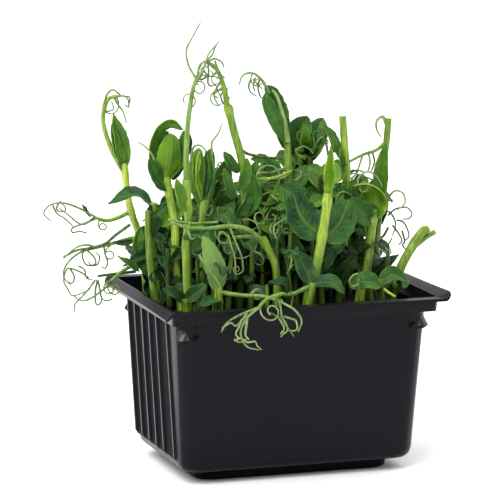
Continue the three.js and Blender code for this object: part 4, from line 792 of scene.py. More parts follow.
def grow_stem(plant, settings, material):
    x, y = plant["path"][0]
    knots = [(x, y, STEM_FOOT), (x, y, STEM_STRAIGHT)] + plant["path"][1:]
    steps = settings.stem_smoothness * (len(knots) - 1)
    path = smooth_path(knots, steps)
    radius = plant["radius"]
    radii = [radius * (1 - (1 - STEM_TAPER) * i / steps) for i in range(steps + 1)]
    starts = []
    for part in plant["parts"]:
        if part["kind"] in ("leaf", "stalk"):
            starts.append(Vector((part.get("rib") or part["points"])[0]))
    # The tone runs from low at the compost to high at the tip: partly painted shade near the
    # compost, partly the paler young growth at the tip.
    low, high = plant["tones"]["stem"]
    tones = [low + (high - low) * (i / steps) ** STEM_TONE_RISE for i in range(steps + 1)]
    return make_rod(path, swellings(path, radii, starts), tones, STEM_SIDES, material)


def grow_part(part, tones, settings, draw, materials):
    """A leaf, a side stalk or a tendril."""
    kind, tone = part["kind"], part["tone"]
    if kind == "leaf":
        tone = tones["leaf"] if tone is None else tone
        return make_leaf(part, tone, settings, draw, materials["leaf"])
    if kind == "stalk":
        steps = STALK_STEPS * (len(part["points"]) - 1)
        path = smooth_path(part["points"], steps)
        radii = between(*part["radii"], steps)
        tone = tones["stem"][1] * STALK_TONE_SHARE if tone is None else tone
        surface = materials["stalk" if tones is GREEN else "stem"]
        return make_rod(path, radii, [tone] * len(path), STALK_SIDES, surface)
    thin = settings.tendril_radius / MM
    if kind == "thread":
        path = smooth_path(part["points"], THREAD_STEPS * (len(part["points"]) - 1))
        start = max(thin, part["start"] * THREAD_SLIMMING)
    else:
        path = curl_path(*part["winding"])
        start = thin * CURL_THICKENING
    radii = between(start, thin, len(path) - 1)
    radii[-2:] = [thin * share for share in TENDRIL_END]
    tone = TENDRIL_TONE if tone is None else tone
    return make_rod(path, radii, [tone] * len(path), TENDRIL_SIDES, materials["tendril"])


def join_parts(parts, name):
    deselect_all()
    for part in parts:
        part.select_set(True)
    bpy.context.view_layer.objects.active = parts[0]
    bpy.ops.object.join()
    whole = bpy.context.object
    whole.name = name
    whole.data.name = name
    bpy.ops.object.shade_smooth_by_angle(angle=SMOOTH_BELOW)
    return whole


def grow_shoot(plant, settings):
    """One fine shoot in the place of its solid."""
    materials = plant_materials(settings)
    draw = random.Random(plant["name"])
    parts = [grow_stem(plant, settings, materials["stem"])]
    for part in [*plant["parts"], *plant["fine"]]:
        parts.append(grow_part(part, plant["tones"], settings, draw, materials))
    whole = join_parts(parts, plant["name"] + "_fine")
    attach(whole, "root")
    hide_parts(plant["name"])


# ---- Seedlings between the shoots ----

SEEDLING_SEED = 23
SEEDLING_ROWS = 9
SEEDLING_COLUMNS = 15
SEEDLING_REACH = Vector((53.0, 35.0))
SEEDLING_CLEARANCE = 3.0
SEEDLING_GAPS_IN_FRONT = 0.45
SEEDLING_FOOT = 72.0
SEEDLING_TOP_IN_FRONT = (86.0, 106.0)
SEEDLING_TOP_BEHIND = (100.0, 116.0)
MOUND_HEIGHT, MOUND_MIDDLE, MOUND_SPREAD = 22.0, 10.0, 36.0
FRONT_ENDS, BACK_BEGINS = -22.0, 2.0
# Painted shade: a seedling leaf's tone is lifted by up to LIT_TONE as the place where it leaves its
# stem rises from LIT_FROM over LIT_OVER millimetres, so the low leaves deep in the foliage stay
# dark.
LIT_FROM, LIT_OVER, LIT_TONE = 90.0, 45.0, 0.58
GOLDEN_TURN = 2.4

# From the front left, the stems of these shoots stay in view.
SHOWN_SHOOTS = ("shoot_01", "shoot_03", "shoot_05", "shoot_06", "shoot_09", "shoot_11", "shoot_12")
SHOWN_FROM = Vector((-0.32, -0.95))
SHOWN_WIDTH = 4.0


def clamp(value):
    return min(1.0, max(0.0, value))


def backness(y):
    """0 in the front rows, 1 in the back half."""
    return clamp((y - FRONT_ENDS) / (BACK_BEGINS - FRONT_ENDS))


def seedling_height(x, y, draw):
    """Low at the front and along the ends, and tallest behind the middle."""
    middle = math.exp(-(((x - MOUND_MIDDLE) / MOUND_SPREAD) ** 2))
    low = draw.uniform(*SEEDLING_TOP_IN_FRONT)
    high = draw.uniform(*SEEDLING_TOP_BEHIND) + MOUND_HEIGHT * middle
    return low + (high - low) * backness(y)


def seedling_leaf(start, heading, length, tone, draw):
    """A small leaf that lies or droops outward, with painted shade: the lower it grows, the darker
    it is.
    """
    outward = Vector((math.cos(heading), math.sin(heading), 0.0))
    droop = draw.uniform(-0.35, 0.5)
    light = clamp((start.z - LIT_FROM) / LIT_OVER)
    middle = start + outward * length * 0.5 + Vector((0.0, 0.0, length * (0.2 + 0.45 * droop)))
    end = start + outward * length * 0.92 + Vector((0.0, 0.0, length * droop))
    return leaf(
        [start, middle, end],
        length * draw.uniform(0.28, 0.46),
        (draw.uniform(-0.5, 0.5), draw.uniform(-1.2, -0.1), 0.7),
        tone + LIT_TONE * light,
        fold=draw.uniform(6.0, 32.0),
        wave=draw.uniform(0.5, 1.2),
        round=draw.random() < 0.4,
        grid="small",
    )


def seedling_parts(x, y, draw):
    """A thin stem, bare low down, with leaves round its upper part and often a tendril."""
    back = backness(y)
    rise = seedling_height(x, y, draw) - SEEDLING_FOOT
    lean = Vector((draw.gauss(0.0, 0.08), draw.gauss(0.0, 0.06), 1.0))
    foot = Vector((x, y, SEEDLING_FOOT))
    knee = foot + lean * rise * 0.5 + Vector((draw.uniform(-1, 1), draw.uniform(-1, 1), 0.0))
    tip = foot + lean * rise
    radius = draw.uniform(0.9, 1.7)
    # Painted shade: the stems of the back rows are made a little darker.
    stem_tone = draw.uniform(-0.15, 0.36) - 0.1 * back
    parts = [stalk([foot, knee, tip], radius, 0.65 * radius, stem_tone)]
    heading = draw.uniform(0.0, 6.3)
    leaves = round(draw.uniform(0.0, 1.6) + back * rise / 9)
    lowest = 0.75 - 0.45 * back
    for i in range(leaves):
        start = foot.lerp(tip, 1.0 - (1.0 - lowest) * i / max(1, leaves - 1))
        heading += GOLDEN_TURN + draw.uniform(-0.4, 0.4)
        length = draw.uniform(7.0, 11.0) + draw.uniform(0.0, 6.0) * back
        parts.append(seedling_leaf(start, heading, length, draw.uniform(-0.18, 0.06), draw))
    for _ in range(round(draw.uniform(0.1, 1.4 + 0.9 * back))):
        away = (draw.uniform(-1, 1), draw.uniform(-1, 0.5), draw.uniform(-0.4, 0.9))
        side = (draw.uniform(-1, 1), 0.0, draw.uniform(-1, 1))
        reach = draw.uniform(14.0, 30.0)
        tone = draw.uniform(0.3, 0.7)
        parts.append(curl(tip, away, side, reach, draw.uniform(0.6, 1.7), tone))
    return parts


def hides_a_stem(spot):
    """Whether a seedling at a spot would stand in front of one of the shown stems."""
    for plant in ALL_SHOOTS:
        if plant["name"] in SHOWN_SHOOTS:
            gap = spot - Vector(plant["path"][0])
            beside = abs(gap.x * SHOWN_FROM.y - gap.y * SHOWN_FROM.x)
            if gap.dot(SHOWN_FROM) > 0 and beside < SHOWN_WIDTH:
                return True
    return False


def seedling_place(cell, cells, reach, draw):
    """A place inside one of the cells that a side of the tray is cut into."""
    return reach * (2 * (cell + draw.uniform(0.15, 0.85)) / cells - 1)


def grow_seedlings(settings):
    """Rows of seedlings that stand in the compost between the shoots, one piece for each row."""
    materials = plant_materials(settings)
    feet = [Vector(plant["path"][0]) for plant in ALL_SHOOTS]
    draw = random.Random(SEEDLING_SEED)
    for row in range(SEEDLING_ROWS):
        parts = []
        for column in range(SEEDLING_COLUMNS):
            x = seedling_place(column, SEEDLING_COLUMNS, SEEDLING_REACH.x, draw)
            y = seedling_place(row, SEEDLING_ROWS, SEEDLING_REACH.y, draw)
            spot = Vector((x, y))
            if min((spot - foot).length for foot in feet) < SEEDLING_CLEARANCE:
                continue
            thinned = draw.random() < SEEDLING_GAPS_IN_FRONT * (1.0 - backness(y))
            if thinned or hides_a_stem(spot):
                continue
            for part in seedling_parts(x, y, draw):
                parts.append(grow_part(part, DEEP, settings, draw, materials))
        whole = join_parts(parts, f"seedlings_{row + 1}")
        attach(whole, "root")


# ---- Shader nodes ----

# Nearly all of a noise texture lies between these.
NOISE_LOW, NOISE_HIGH = 0.3, 0.7


def plug(tree, node, inputs):
    """Gives a node its inputs. Each takes a value, or an output that is linked to it."""
    for key, value in inputs.items():
        if isinstance(value, bpy.types.NodeSocket):
            tree.links.new(value, node.inputs[key])
        else:
            node.inputs[key].default_value = value


def put(tree, kind, inputs=None, **settings):
    """Adds a shader node with its settings and inputs."""
    node = tree.nodes.new(kind if kind.startswith("NodeGroup") else "ShaderNode" + kind)
    for name, value in settings.items():
        setattr(node, name, value)
    plug(tree, node, inputs or {})
    return node


def math_node(tree, operation, first, second=0.0, third=0.0):
    return put(tree, "Math", {0: first, 1: second, 2: third}, operation=operation).outputs[0]


def spread(tree, value, low, high, new_low=0.0, new_high=1.0, smooth=False):
    """Maps a range of a value onto another range."""
    ends = {"From Min": low, "From Max": high, "To Min": new_low, "To Max": new_high}
    kind = "SMOOTHSTEP" if smooth else "LINEAR"
    node = put(tree, "MapRange", {"Value": value, **ends}, interpolation_type=kind)
    return node.outputs["Result"]


def blend_colours(tree, factor, first, second, kind="MIX"):
    inputs = {0: factor, 6: first, 7: second}
    return put(tree, "Mix", inputs, data_type="RGBA", blend_type=kind).outputs[2]


def speckle(tree, vector, scale, detail=3.0, roughness=0.5):
    inputs = {"Vector": vector, "Scale": scale, "Detail": detail, "Roughness": roughness}
    return put(tree, "TexNoise", inputs).outputs["Fac"]


def stretch(tree, vector, scale):
    return put(tree, "Mapping", {"Vector": vector, "Scale": scale}).outputs["Vector"]


def opaque(rgb):
    return (*rgb, 1.0)


def colour_ramp(tree, factor, places, colours):
    node = put(tree, "ValToRGB", {"Fac": factor})
    elements = node.color_ramp.elements
    while len(elements) < len(places):
        elements.new(0.5)
    for element, place, rgb in zip(elements, places, colours):
        element.position = place
        element.color = opaque(rgb)
    return node.outputs["Color"]


def bump(tree, height, strength, depth, **settings):
    inputs = {"Strength": strength, "Distance": depth, "Height": height}
    return put(tree, "Bump", inputs, **settings).outputs["Normal"]


def read_attribute(tree, name):
    return put(tree, "Attribute", attribute_name=name).outputs["Fac"]


def node_group(name, source, results, build):
    """The group of that name, made the first time. build turns its vector into its results."""
    if name not in bpy.data.node_groups:
        tree = bpy.data.node_groups.new(name, "ShaderNodeTree")
        sockets = [(source, "INPUT", "Vector")] + [(label, "OUTPUT", "Float") for label in results]
        for label, way, kind in sockets:
            tree.interface.new_socket(name=label, in_out=way, socket_type="NodeSocket" + kind)
        vector = put(tree, "NodeGroupInput").outputs[source]
        put(tree, "NodeGroupOutput", dict(zip(results, build(tree, vector))))
    return bpy.data.node_groups[name]


def vary(tree, tone, pattern, amount, low=NOISE_LOW, high=NOISE_HIGH):
    """Shifts a tone down and up with a pattern, which runs from low to high."""
    return math_node(tree, "ADD", tone, spread(tree, pattern, low, high, -amount, amount))


def between_noise(tree, noise_value, low, high):
    """A value that follows a noise from low to high."""
    return spread(tree, noise_value, NOISE_LOW, NOISE_HIGH, low, high)


def build_veins(tree, leaf_map):
    """Rib and side veins of a leaflet, from its own map: across from 0 to 1, and along too."""
    parts = put(tree, "SeparateXYZ", {"Vector": leaf_map}).outputs
    far = math_node(tree, "ABSOLUTE", math_node(tree, "MULTIPLY_ADD", parts["X"], 2.0, -1.0))
    rib = spread(tree, far, 0.02, 0.14, 1.0, 0.0, smooth=True)
    slope = math_node(tree, "MULTIPLY", far, -1.7)
    position = math_node(tree, "MULTIPLY_ADD", parts["Y"], 8.0, slope)
    position = vary(tree, position, speckle(tree, leaf_map, 9.0, 2.0), 0.35, 0.0, 1.0)
    cycle = math_node(tree, "FRACT", position)
    middle = math_node(tree, "ABSOLUTE", math_node(tree, "SUBTRACT", cycle, 0.5))
    side = spread(tree, middle, 0.0, 0.11, 1.0, 0.0, smooth=True)
    side = math_node(tree, "MULTIPLY", side, spread(tree, far, 0.5, 1.0, 0.6, 0.15))
    return math_node(tree, "MAXIMUM", rib, side), spread(tree, far, 0.8, 1.0, smooth=True)


def build_mottle(tree, place):
    """Soft patches and fine grain of living tissue."""
    cells = put(tree, "TexVoronoi", {"Vector": place, "Scale": 1500.0}, feature="F1")
    return speckle(tree, place, 170.0, 3.0, 0.55), cells.outputs["Distance"]


def veins_on(tree, leaf_map):
    group = node_group("leaf_veins", "Map", ("Veins", "Edge"), build_veins)
    return put(tree, "Group", {"Map": leaf_map}, node_tree=group).outputs


def mottle_on(tree, place):
    group = node_group("plant_mottle", "Place", ("Patches", "Grain"), build_mottle)
    return put(tree, "Group", {"Place": place}, node_tree=group).outputs


# ---- Materials ----

LEAF_EDGE_LIFT = 0.14
BLOOM_SHARE = 0.5
VEIN_PALENESS = 0.30
DUST_SHARE = 0.1
DUST_LIFT = 0.10
DULL_ROUGHNESS = 0.45
BARE_SHINE = 0.1
# Raised shine on the marked faces, which paints the highlights of the crests and the lug tops.
HIGHLIGHT_SHINE = 0.17


def material_of(name, finish, settings, *more):
    """The material of that name, made the first time. Its finish gives the shader its inputs."""
    if name not in bpy.data.materials:
        material = bpy.data.materials.new(name)
        material.use_nodes = True
        tree = material.node_tree
        tree.nodes.clear()
        shader = put(tree, "BsdfPrincipled")
        put(tree, "OutputMaterial", {"Surface": shader.outputs["BSDF"]})
        plug(tree, shader, finish(tree, settings, *more))
    return bpy.data.materials[name]


def scaled(rgb, factor=1.0, lift=0.0):
    return tuple(factor * c + lift for c in rgb)


def leaf_finish(tree, settings):
    """Leaflets: veins, pale edges, soft patches and streaks, and bloom on the lower face."""
    place = put(tree, "TexCoord").outputs
    veins = veins_on(tree, place["UV"])
    mottle = mottle_on(tree, place["Object"])
    tone = vary(tree, read_attribute(tree, "tone"), mottle["Patches"], 0.16)
    tone = math_node(tree, "MULTIPLY_ADD", veins["Edge"], LEAF_EDGE_LIFT, tone)
    streaks = speckle(tree, stretch(tree, place["UV"], (9.0, 0.8, 1.0)), 2.2, 3.0, 0.6)
    tone = vary(tree, tone, streaks, 0.13)
    greens = settings.leaf_deep, settings.leaf_mid, settings.leaf_bright, settings.leaf_pale
    green = colour_ramp(tree, tone, (0.0, 0.4, 0.75, 1.0), greens)
    bloom = math_node(tree, "MULTIPLY", read_attribute(tree, "underside"), BLOOM_SHARE)
    green = blend_colours(tree, bloom, green, opaque(settings.leaf_underside))
    pale = blend_colours(tree, 0.5, green, opaque(settings.leaf_pale))
    lines = math_node(tree, "MULTIPLY", veins["Veins"], VEIN_PALENESS)
    relief = math_node(tree, "MULTIPLY_ADD", mottle["Grain"], 0.25, veins["Veins"])
    return {
        "Base Color": blend_colours(tree, lines, green, pale),
        "Roughness": between_noise(tree, mottle["Patches"], 0.42, 0.58),
        "Normal": bump(tree, relief, settings.vein_relief, 0.0003, invert=True),
        "Subsurface Weight": 0.12,
        "Subsurface Radius": (0.6, 1.0, 0.25),
        "Subsurface Scale": 0.0012,
        "Specular IOR Level": 0.16,
    }


def fibre_finish(tree, settings, middle, tip, depth):
    """Stems and tendrils: long fibres, and a tone that runs along them."""
    place = put(tree, "TexCoord").outputs["Object"]
    patches = mottle_on(tree, place)["Patches"]
    fibres = speckle(tree, stretch(tree, place, (1.0, 1.0, 0.06)), 1100.0, 2.0)
    tone = vary(tree, read_attribute(tree, "tone"), patches, 0.12)
    tone = vary(tree, tone, fibres, 0.16, 0.35, 0.65)
    return {
        "Base Color": colour_ramp(tree, tone, (0.0, 0.5, 1.0), (settings.stem_dark, middle, tip)),
        "Roughness": between_noise(tree, patches, 0.34, 0.5),
        "Normal": bump(tree, fibres, 0.25, 0.0002),
        "Subsurface Weight": depth,
        "Subsurface Radius": (0.7, 1.0, 0.3),
        "Subsurface Scale": 0.0015,
        "Specular IOR Level": 0.3,
    }


def plant_materials(settings):
    rods = {
        "stem": (settings.stem_mid, settings.stem_pale, 0.12),
        "stalk": (settings.stalk_colour, settings.tendril_pale, 0.12),
        "tendril": (settings.tendril_colour, settings.tendril_pale, 0.1),
    }
    materials = {"leaf": material_of("pea_leaf", leaf_finish, settings)}
    for name, look in rods.items():
        materials[name] = material_of("pea_" + name, fibre_finish, settings, *look)
    return materials


def plastic_finish(tree, settings):
    """Black plastic: dull in the flutes, a little dusty, and given a raised shine that paints
    highlights on the crests, the corner strips, the foot line and the lug tops.
    """
    place = put(tree, "TexCoord").outputs["Object"]
    cloud = speckle(tree, place, 28.0, 4.0, 0.6)
    dust = spread(tree, speckle(tree, place, 900.0, 2.0), 0.68, 0.76, smooth=True)
    specks = math_node(tree, "MULTIPLY", dust, DUST_SHARE)
    tint = between_noise(tree, cloud, 0.85, 1.25)
    clean = blend_colours(tree, 1.0, opaque(settings.plastic), tint, kind="MULTIPLY")
    dusty = opaque(scaled(settings.plastic, lift=DUST_LIFT))
    flute = read_attribute(tree, "flute")
    dull = math_node(tree, "MAXIMUM", flute, 0.0)
    highlighted = math_node(tree, "MINIMUM", flute, 0.0)
    rough = between_noise(tree, cloud, 0.24, 0.36)
    flow = speckle(tree, place, 45.0, 1.0)
    grain = speckle(tree, place, 2600.0, 1.0)
    relief = math_node(tree, "MULTIPLY_ADD", flow, 3.0, grain)
    return {
        "Base Color": blend_colours(tree, specks, clean, dusty),
        "Roughness": math_node(tree, "MULTIPLY_ADD", dull, DULL_ROUGHNESS, rough),
        "Specular IOR Level": math_node(tree, "MULTIPLY_ADD", highlighted, -HIGHLIGHT_SHINE, BARE_SHINE),
        "Normal": bump(tree, relief, 0.12, 0.0003),
    }


def compost_finish(tree, settings):
    """Damp compost: dark crumbs with paler, drier flecks."""
    place = put(tree, "TexCoord").outputs["Object"]
    crumbs = speckle(tree, place, 420.0, 5.0, 0.65)
    fine = speckle(tree, place, 1800.0)
    dark = scaled(settings.compost, 0.45)
    pale = scaled(settings.compost, 2.6, 0.01)
    relief = math_node(tree, "MULTIPLY_ADD", fine, 0.4, crumbs)
    return {
        "Base Color": colour_ramp(tree, crumbs, (0.3, 0.55, 0.78), (dark, settings.compost, pale)),
        "Roughness": between_noise(tree, fine, 0.7, 0.98),
        "Normal": bump(tree, relief, 0.9, 0.001),
        "Specular IOR Level": 0.3,
    }


def floor_finish(tree, settings):
    """Matt pale paper with a faint cloudiness."""
    cloud = speckle(tree, put(tree, "TexCoord").outputs["Object"], 3.0, 2.0)
    shade = opaque(scaled(settings.floor_colour, 0.985))
    return {
        "Base Color": blend_colours(tree, cloud, shade, opaque(settings.floor_colour)),
        "Roughness": 0.8,
        "Specular IOR Level": 0.1,
    }


# ---- Tray and compost, in millimetres ----

WALL_TOP_Z = 76.6
WALL_FOOT_Z = 10.2
WALL_TOP_X = 61.7
WALL_FOOT_X = 57.5
WALL_BAND = 3.0
RIDGE_ROWS = (-28.3, -12.3, -0.8, 10.7, 22.2, 33.0)
RIDGE_CREST_PROUD = 1.2
RIDGE_CREST_EDGE = (0.3, 0.5)
RIDGE_CREST_HALF = 0.8
LAST_FLUTE_EDGE = 29.4
LUG_PLACE = (56.0, 40.0)
LUG_REACH = (62.0, 74.0)
TRAY_SMOOTH_BELOW = math.radians(28)
TRAY_MERGE = 0.01

# How a face of the tray shines: above 0 it is dull, and below 0 it gets a raised shine that paints
# a highlight.
DULL_FLUTE = 1.0
PLAIN_WALL = 0.0
CREST_HIGHLIGHT = -1.0
LUG_GLINT = -4.0

SOIL_LEVEL = 75.0
SOIL_HALF_X = 60.2
SOIL_HALF_Y = 42.2
SOIL_CORNER = 7.7
SOIL_EDGE_DROP = 1.2
SOIL_FOOT = 12.0
SOIL_FOOT_SHARE = 0.93
SOIL_GRID = (120, 84)
SOIL_SMOOTH_BELOW = math.radians(60)
CRUMB_SEED = 11
CRUMB_REACH = 0.97


def wall_at(z):
    """How far the tapering end wall stands from the middle at a height."""
    share = (WALL_TOP_Z - z) / (WALL_TOP_Z - WALL_FOOT_Z)
    return WALL_TOP_X + (WALL_FOOT_X - WALL_TOP_X) * share


def shine_of(face):
    """How a face of the tray shines, by its place on the walls, the flutes and the lugs; the
    crests, the corner strips, the foot line and the lug tops get a painted highlight.
    """
    x, y, z = (abs(face.center.x) / MM, abs(face.center.y) / MM, face.center.z / MM)
    on_lug = x > LUG_PLACE[0] and y > LUG_PLACE[1] and LUG_REACH[0] < z < LUG_REACH[1]
    if on_lug and face.normal.z > 0.05:
        return LUG_GLINT
    if abs(face.normal.x) < 0.9 or x < WALL_FOOT_X - WALL_BAND:
        return PLAIN_WALL
    if z < WALL_FOOT_Z or (y > LAST_FLUTE_EDGE and z < WALL_TOP_Z):
        return CREST_HIGHLIGHT
    out = x - wall_at(z)
    if abs(out) < RIDGE_CREST_PROUD / 2:
        return DULL_FLUTE
    return CREST_HIGHLIGHT if out > 0 else PLAIN_WALL


def broaden_crests(mesh):
    """Gives each upright ridge its flat, rounded-over crest."""
    for vertex in mesh.vertices:
        x, y, z = (c / MM for c in vertex.co)
        if abs(x) - wall_at(z) < RIDGE_CREST_PROUD / 2 or z > WALL_TOP_Z + WALL_BAND:
            continue
        for row in RIDGE_ROWS:
            if RIDGE_CREST_EDGE[0] < abs(y - row) < RIDGE_CREST_EDGE[1]:
                vertex.co.y = (row + math.copysign(RIDGE_CREST_HALF, y - row)) * MM


def make_tray_shell(settings):
    """The tray with smooth shading over its rounded corners and crisp ridges."""
    deselect_all()
    shell = bpy.data.objects.new("tray_shell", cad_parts["tray"].data.copy())
    bpy.context.scene.collection.objects.link(shell)
    shell.select_set(True)
    bpy.context.view_layer.objects.active = shell
    bpy.ops.object.mode_set(mode="EDIT")
    bpy.ops.mesh.select_all(action="SELECT")
    bpy.ops.mesh.remove_doubles(threshold=TRAY_MERGE * MM)
    bpy.ops.object.mode_set(mode="OBJECT")
    broaden_crests(shell.data)
    flutes = shell.data.attributes.new("flute", "FLOAT", "FACE")
    for face, mark in zip(shell.data.polygons, flutes.data):
        mark.value = shine_of(face)
    bpy.ops.object.shade_smooth_by_angle(angle=TRAY_SMOOTH_BELOW)
    bpy.ops.object.modifier_add(type="WEIGHTED_NORMAL")
    weighted = shell.modifiers[-1]
    weighted.keep_sharp = True
    bpy.ops.object.modifier_apply(modifier=weighted.name)
    shell.data.materials.clear()
    shell.data.materials.append(material_of("black_plastic", plastic_finish, settings))
    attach(shell, "root")
    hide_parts("tray")


def soil_height(x, y):
    """The gentle waves of the compost, with lumps on top."""
    coarse = math.sin(x * 0.21 + 0.6) * math.cos(y * 0.27 - 0.4)
    fine = math.sin(x * 0.52 - y * 0.44 + 1.3)
    lumps = noise.fractal(Vector((x * 0.45, y * 0.45, 3.1)), 1.0, 2.0, 4) * 0.9
    return SOIL_LEVEL + 0.7 * (coarse + 0.5 * fine) + lumps - 0.3


def into_rounded_mouth(x, y):
    """Moves a point of a rectangle into the rectangle with rounded corners."""
    inner_x = SOIL_HALF_X - SOIL_CORNER
    inner_y = SOIL_HALF_Y - SOIL_CORNER
    over_x = abs(x) - inner_x
    over_y = abs(y) - inner_y
    if over_x <= 0 or over_y <= 0:
        return x, y
    squeeze = max(over_x, over_y) / math.hypot(over_x, over_y)
    return (
        math.copysign(inner_x + over_x * squeeze, x),
        math.copysign(inner_y + over_y * squeeze, y),
    )


def make_compost(settings):
    """The block of compost, with a waved top, drawn in towards its foot."""
    deselect_all()
    columns, rows = SOIL_GRID
    bpy.ops.mesh.primitive_grid_add(x_subdivisions=columns, y_subdivisions=rows, size=2)
    bed = bpy.context.object
    bed.name = "compost_bed"
    for vertex in bed.data.vertices:
        x, y = into_rounded_mouth(vertex.co.x * SOIL_HALF_X, vertex.co.y * SOIL_HALF_Y)
        edge = max(abs(vertex.co.x), abs(vertex.co.y)) > 0.999
        z = SOIL_LEVEL - SOIL_EDGE_DROP if edge else soil_height(x, y)
        vertex.co = Vector((x, y, z)) * MM
    bpy.ops.object.mode_set(mode="EDIT")
    bpy.ops.mesh.select_all(action="SELECT")
    bpy.ops.mesh.region_to_loop()
    down = (SOIL_FOOT - SOIL_LEVEL) * MM
    bpy.ops.mesh.extrude_region_move(TRANSFORM_OT_translate={"value": (0, 0, down)})
    bpy.ops.transform.resize(
        value=(SOIL_FOOT_SHARE, SOIL_FOOT_SHARE, 1.0), center_override=(0, 0, SOIL_FOOT * MM)
    )
    bpy.ops.mesh.edge_face_add()
    bpy.ops.mesh.select_all(action="SELECT")
    bpy.ops.mesh.normals_make_consistent(inside=False)
    bpy.ops.object.mode_set(mode="OBJECT")
    bpy.ops.object.shade_smooth_by_angle(angle=SOIL_SMOOTH_BELOW)
    bed.data.materials.append(material_of("damp_compost", compost_finish, settings))
    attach(bed, "root")
    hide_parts("growing_medium")


def make_crumbs(settings):
    """Loose crumbs sunk into the top of the compost."""
    draw = random.Random(CRUMB_SEED)
    crumbs = []
    for _ in range(settings.crumbs):
        x, y = into_rounded_mouth(
            draw.uniform(-CRUMB_REACH, CRUMB_REACH) * SOIL_HALF_X,
            draw.uniform(-CRUMB_REACH, CRUMB_REACH) * SOIL_HALF_Y,
        )
        size = draw.uniform(0.5, 1.5)
        spot = Vector((x, y, soil_height(x, y) + 0.3 * size)) * MM
        turn = (draw.uniform(0, 6), draw.uniform(0, 6), draw.uniform(0, 6))
        deselect_all()
        bpy.ops.mesh.primitive_ico_sphere_add(
            subdivisions=1, radius=size * MM, location=spot, rotation=turn
        )
        crumb = bpy.context.object
        crumb.scale = (draw.uniform(0.7, 1.3), draw.uniform(0.6, 1.0), draw.uniform(0.5, 0.9))
        bpy.ops.object.transform_apply(location=True, rotation=True, scale=True)
        crumb.data.materials.append(material_of("damp_compost", compost_finish, settings))
        crumbs.append(crumb)
    if crumbs:
        whole = join_parts(crumbs, "compost_crumbs")
        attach(whole, "root")


# ---- Stage, in metres ----

FOCAL_LENGTH = 252.0
SENSOR_WIDTH = 36.0
CAMERA_YAW = math.radians(-18.7)
CAMERA_PITCH = math.radians(10.0)
CAMERA_ROLL = math.radians(0.25)
CAMERA_DISTANCE = 1.648
CAMERA_TARGET = Vector((-0.0124, 0.0, 0.1023))

LIGHT_TARGET = Vector((0.0, 0.0, 0.1))
KEY_PLACE, KEY_SIZE, KEY_COLOUR = (-1.1, -0.9, 1.5), 1.4, (1, 0.99, 0.97)
FILL_PLACE, FILL_SIZE, FILL_COLOUR = (1.3, 0.6, 1.2), 1.2, (0.98, 0.99, 1)
FLOOR_SIZE = 14.0


def make_camera():
    yaw, pitch, roll = CAMERA_YAW, CAMERA_PITCH, CAMERA_ROLL
    back = Vector(
        (math.sin(yaw) * math.cos(pitch), -math.cos(yaw) * math.cos(pitch), math.sin(pitch))
    )
    level = Vector((math.cos(yaw), math.sin(yaw), 0.0))
    upright = back.cross(level)
    right = level * math.cos(roll) + upright * math.sin(roll)
    up = upright * math.cos(roll) - level * math.sin(roll)
    deselect_all()
    bpy.ops.object.camera_add(location=CAMERA_TARGET + back * CAMERA_DISTANCE)
    camera = bpy.context.object
    camera.name = "front_camera"
    camera.data.lens = FOCAL_LENGTH
    camera.data.sensor_width = SENSOR_WIDTH
    turn = camera.matrix_world.to_3x3()
    turn.col[0], turn.col[1], turn.col[2] = right, up, back
    camera.rotation_euler = turn.to_euler()
    bpy.context.scene.camera = camera


def add_soft_light(name, place, size, tint, watts):
    """A square area light that points at the object."""
    deselect_all()
    bpy.ops.object.light_add(type="AREA", location=place)
    light = bpy.context.object
    light.name = name
    light.data.shape = "RECTANGLE"
    light.data.size = light.data.size_y = size
    light.data.energy = watts
    light.data.color = tint
    direction = LIGHT_TARGET - Vector(place)
    light.rotation_euler = direction.to_track_quat("-Z", "Y").to_euler()


def make_surround(settings):
    """A pale room that lights from above and behind more than from below and the front."""
    scene = bpy.context.scene
    scene.view_settings.view_transform = "Standard"
    world = bpy.data.worlds.new("pale_room")
    scene.world = world
    world.use_nodes = True
    tree = world.node_tree
    tree.nodes.clear()
    direction = put(tree, "TexCoord").outputs["Generated"]
    parts = put(tree, "SeparateXYZ", {"Vector": direction}).outputs
    dimming = spread(tree, parts["Y"], -0.9, 0.1, 0.42, 1.0, smooth=True)
    overhead = spread(tree, parts["Z"], 0.25, 0.95, 1.0, 2.3, smooth=True)
    strength = math_node(tree, "MULTIPLY", dimming, overhead)
    strength = math_node(tree, "MULTIPLY", strength, settings.sky_strength)
    room = put(tree, "Background", {"Color": (1.0, 1.0, 1.0, 1.0), "Strength": strength})
    put(tree, "OutputWorld", {"Surface": room.outputs["Background"]})


def make_floor(settings):
    deselect_all()
    bpy.ops.mesh.primitive_plane_add(size=FLOOR_SIZE, location=(0, 0, 0))
    floor = bpy.context.object
    floor.name = "floor"
    floor.data.materials.append(material_of("pale_floor", floor_finish, settings))


# ---- Operators ----


def grow_all(shoots, context):
    for plant in shoots:
        grow_shoot(plant, context.scene.pea_shoots)
    return {"FINISHED"}


class PEASHOOTS_OT_tray(bpy.types.Operator):
    """Dress the plastic tray"""

    bl_idname = "peashoots.tray"
    bl_label = "Tray"

    def execute(self, context):
        make_tray_shell(context.scene.pea_shoots)
        return {"FINISHED"}


class PEASHOOTS_OT_compost(bpy.types.Operator):
    """Fill the tray with crumbly compost"""

    bl_idname = "peashoots.compost"
    bl_label = "Compost"

    def execute(self, context):
        make_compost(context.scene.pea_shoots)
        make_crumbs(context.scene.pea_shoots)
        return {"FINISHED"}


class PEASHOOTS_OT_tall(bpy.types.Operator):
    """Grow the tall shoots"""

    bl_idname = "peashoots.tall"
    bl_label = "Tall Shoots"

    def execute(self, context):
        return grow_all(TALL_SHOOTS, context)


class PEASHOOTS_OT_buds(bpy.types.Operator):
    """Grow the shoots that carry buds and round leaflets"""

    bl_idname = "peashoots.buds"
    bl_label = "Budding Shoots"

    def execute(self, context):
        return grow_all(BUDDING_SHOOTS, context)


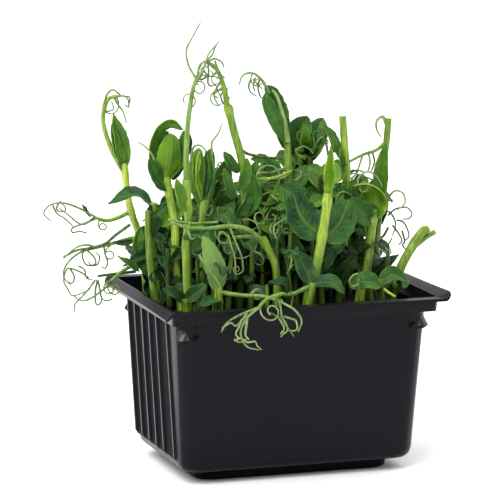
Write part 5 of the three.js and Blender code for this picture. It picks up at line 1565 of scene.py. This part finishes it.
class PEASHOOTS_OT_trailing(bpy.types.Operator):
    """Grow the shoots whose tendrils trail over the rim"""

    bl_idname = "peashoots.trailing"
    bl_label = "Trailing Shoots"

    def execute(self, context):
        return grow_all(TRAILING_SHOOTS, context)


class PEASHOOTS_OT_leafy(bpy.types.Operator):
    """Grow the short leafy shoots"""

    bl_idname = "peashoots.leafy"
    bl_label = "Leafy Shoots"

    def execute(self, context):
        return grow_all(LEAFY_SHOOTS, context)


class PEASHOOTS_OT_seedlings(bpy.types.Operator):
    """Grow the seedlings between the shoots"""

    bl_idname = "peashoots.seedlings"
    bl_label = "Seedlings"

    def execute(self, context):
        grow_seedlings(context.scene.pea_shoots)
        return {"FINISHED"}


class PEASHOOTS_OT_stage(bpy.types.Operator):
    """Set up the floor, the light and the camera"""

    bl_idname = "peashoots.stage"
    bl_label = "Stage"

    def execute(self, context):
        settings = context.scene.pea_shoots
        make_surround(settings)
        make_floor(settings)
        make_camera()
        add_soft_light("key_light", KEY_PLACE, KEY_SIZE, KEY_COLOUR, settings.key_power)
        add_soft_light("fill_light", FILL_PLACE, FILL_SIZE, FILL_COLOUR, settings.fill_power)
        return {"FINISHED"}


class PEASHOOTS_PT_panel(bpy.types.Panel):
    """Settings and operators of the pea shoot tray"""

    bl_idname = "PEASHOOTS_PT_panel"
    bl_label = "Pea Shoots"
    bl_space_type = "VIEW_3D"
    bl_region_type = "UI"
    bl_category = "Pea Shoots"

    def draw(self, context):
        for name in PeaShootSettings.__annotations__:
            self.layout.prop(context.scene.pea_shoots, name)
        for operator in OPERATORS:
            self.layout.operator(operator.bl_idname)


OPERATORS = (
    PEASHOOTS_OT_tray,
    PEASHOOTS_OT_compost,
    PEASHOOTS_OT_tall,
    PEASHOOTS_OT_buds,
    PEASHOOTS_OT_trailing,
    PEASHOOTS_OT_leafy,
    PEASHOOTS_OT_seedlings,
    PEASHOOTS_OT_stage,
)
CLASSES = (PeaShootSettings, *OPERATORS, PEASHOOTS_PT_panel)


def register():
    for item in CLASSES:
        bpy.utils.register_class(item)
    bpy.types.Scene.pea_shoots = bpy.props.PointerProperty(type=PeaShootSettings)


def unregister():
    del bpy.types.Scene.pea_shoots
    for item in reversed(CLASSES):
        bpy.utils.unregister_class(item)


def main():
    register()
    bpy.ops.peashoots.tray()
    bpy.ops.peashoots.compost()
    bpy.ops.peashoots.tall()
    bpy.ops.peashoots.buds()
    bpy.ops.peashoots.trailing()
    bpy.ops.peashoots.leafy()
    bpy.ops.peashoots.seedlings()
    bpy.ops.peashoots.stage()


if __name__ == "__main__":
    main()
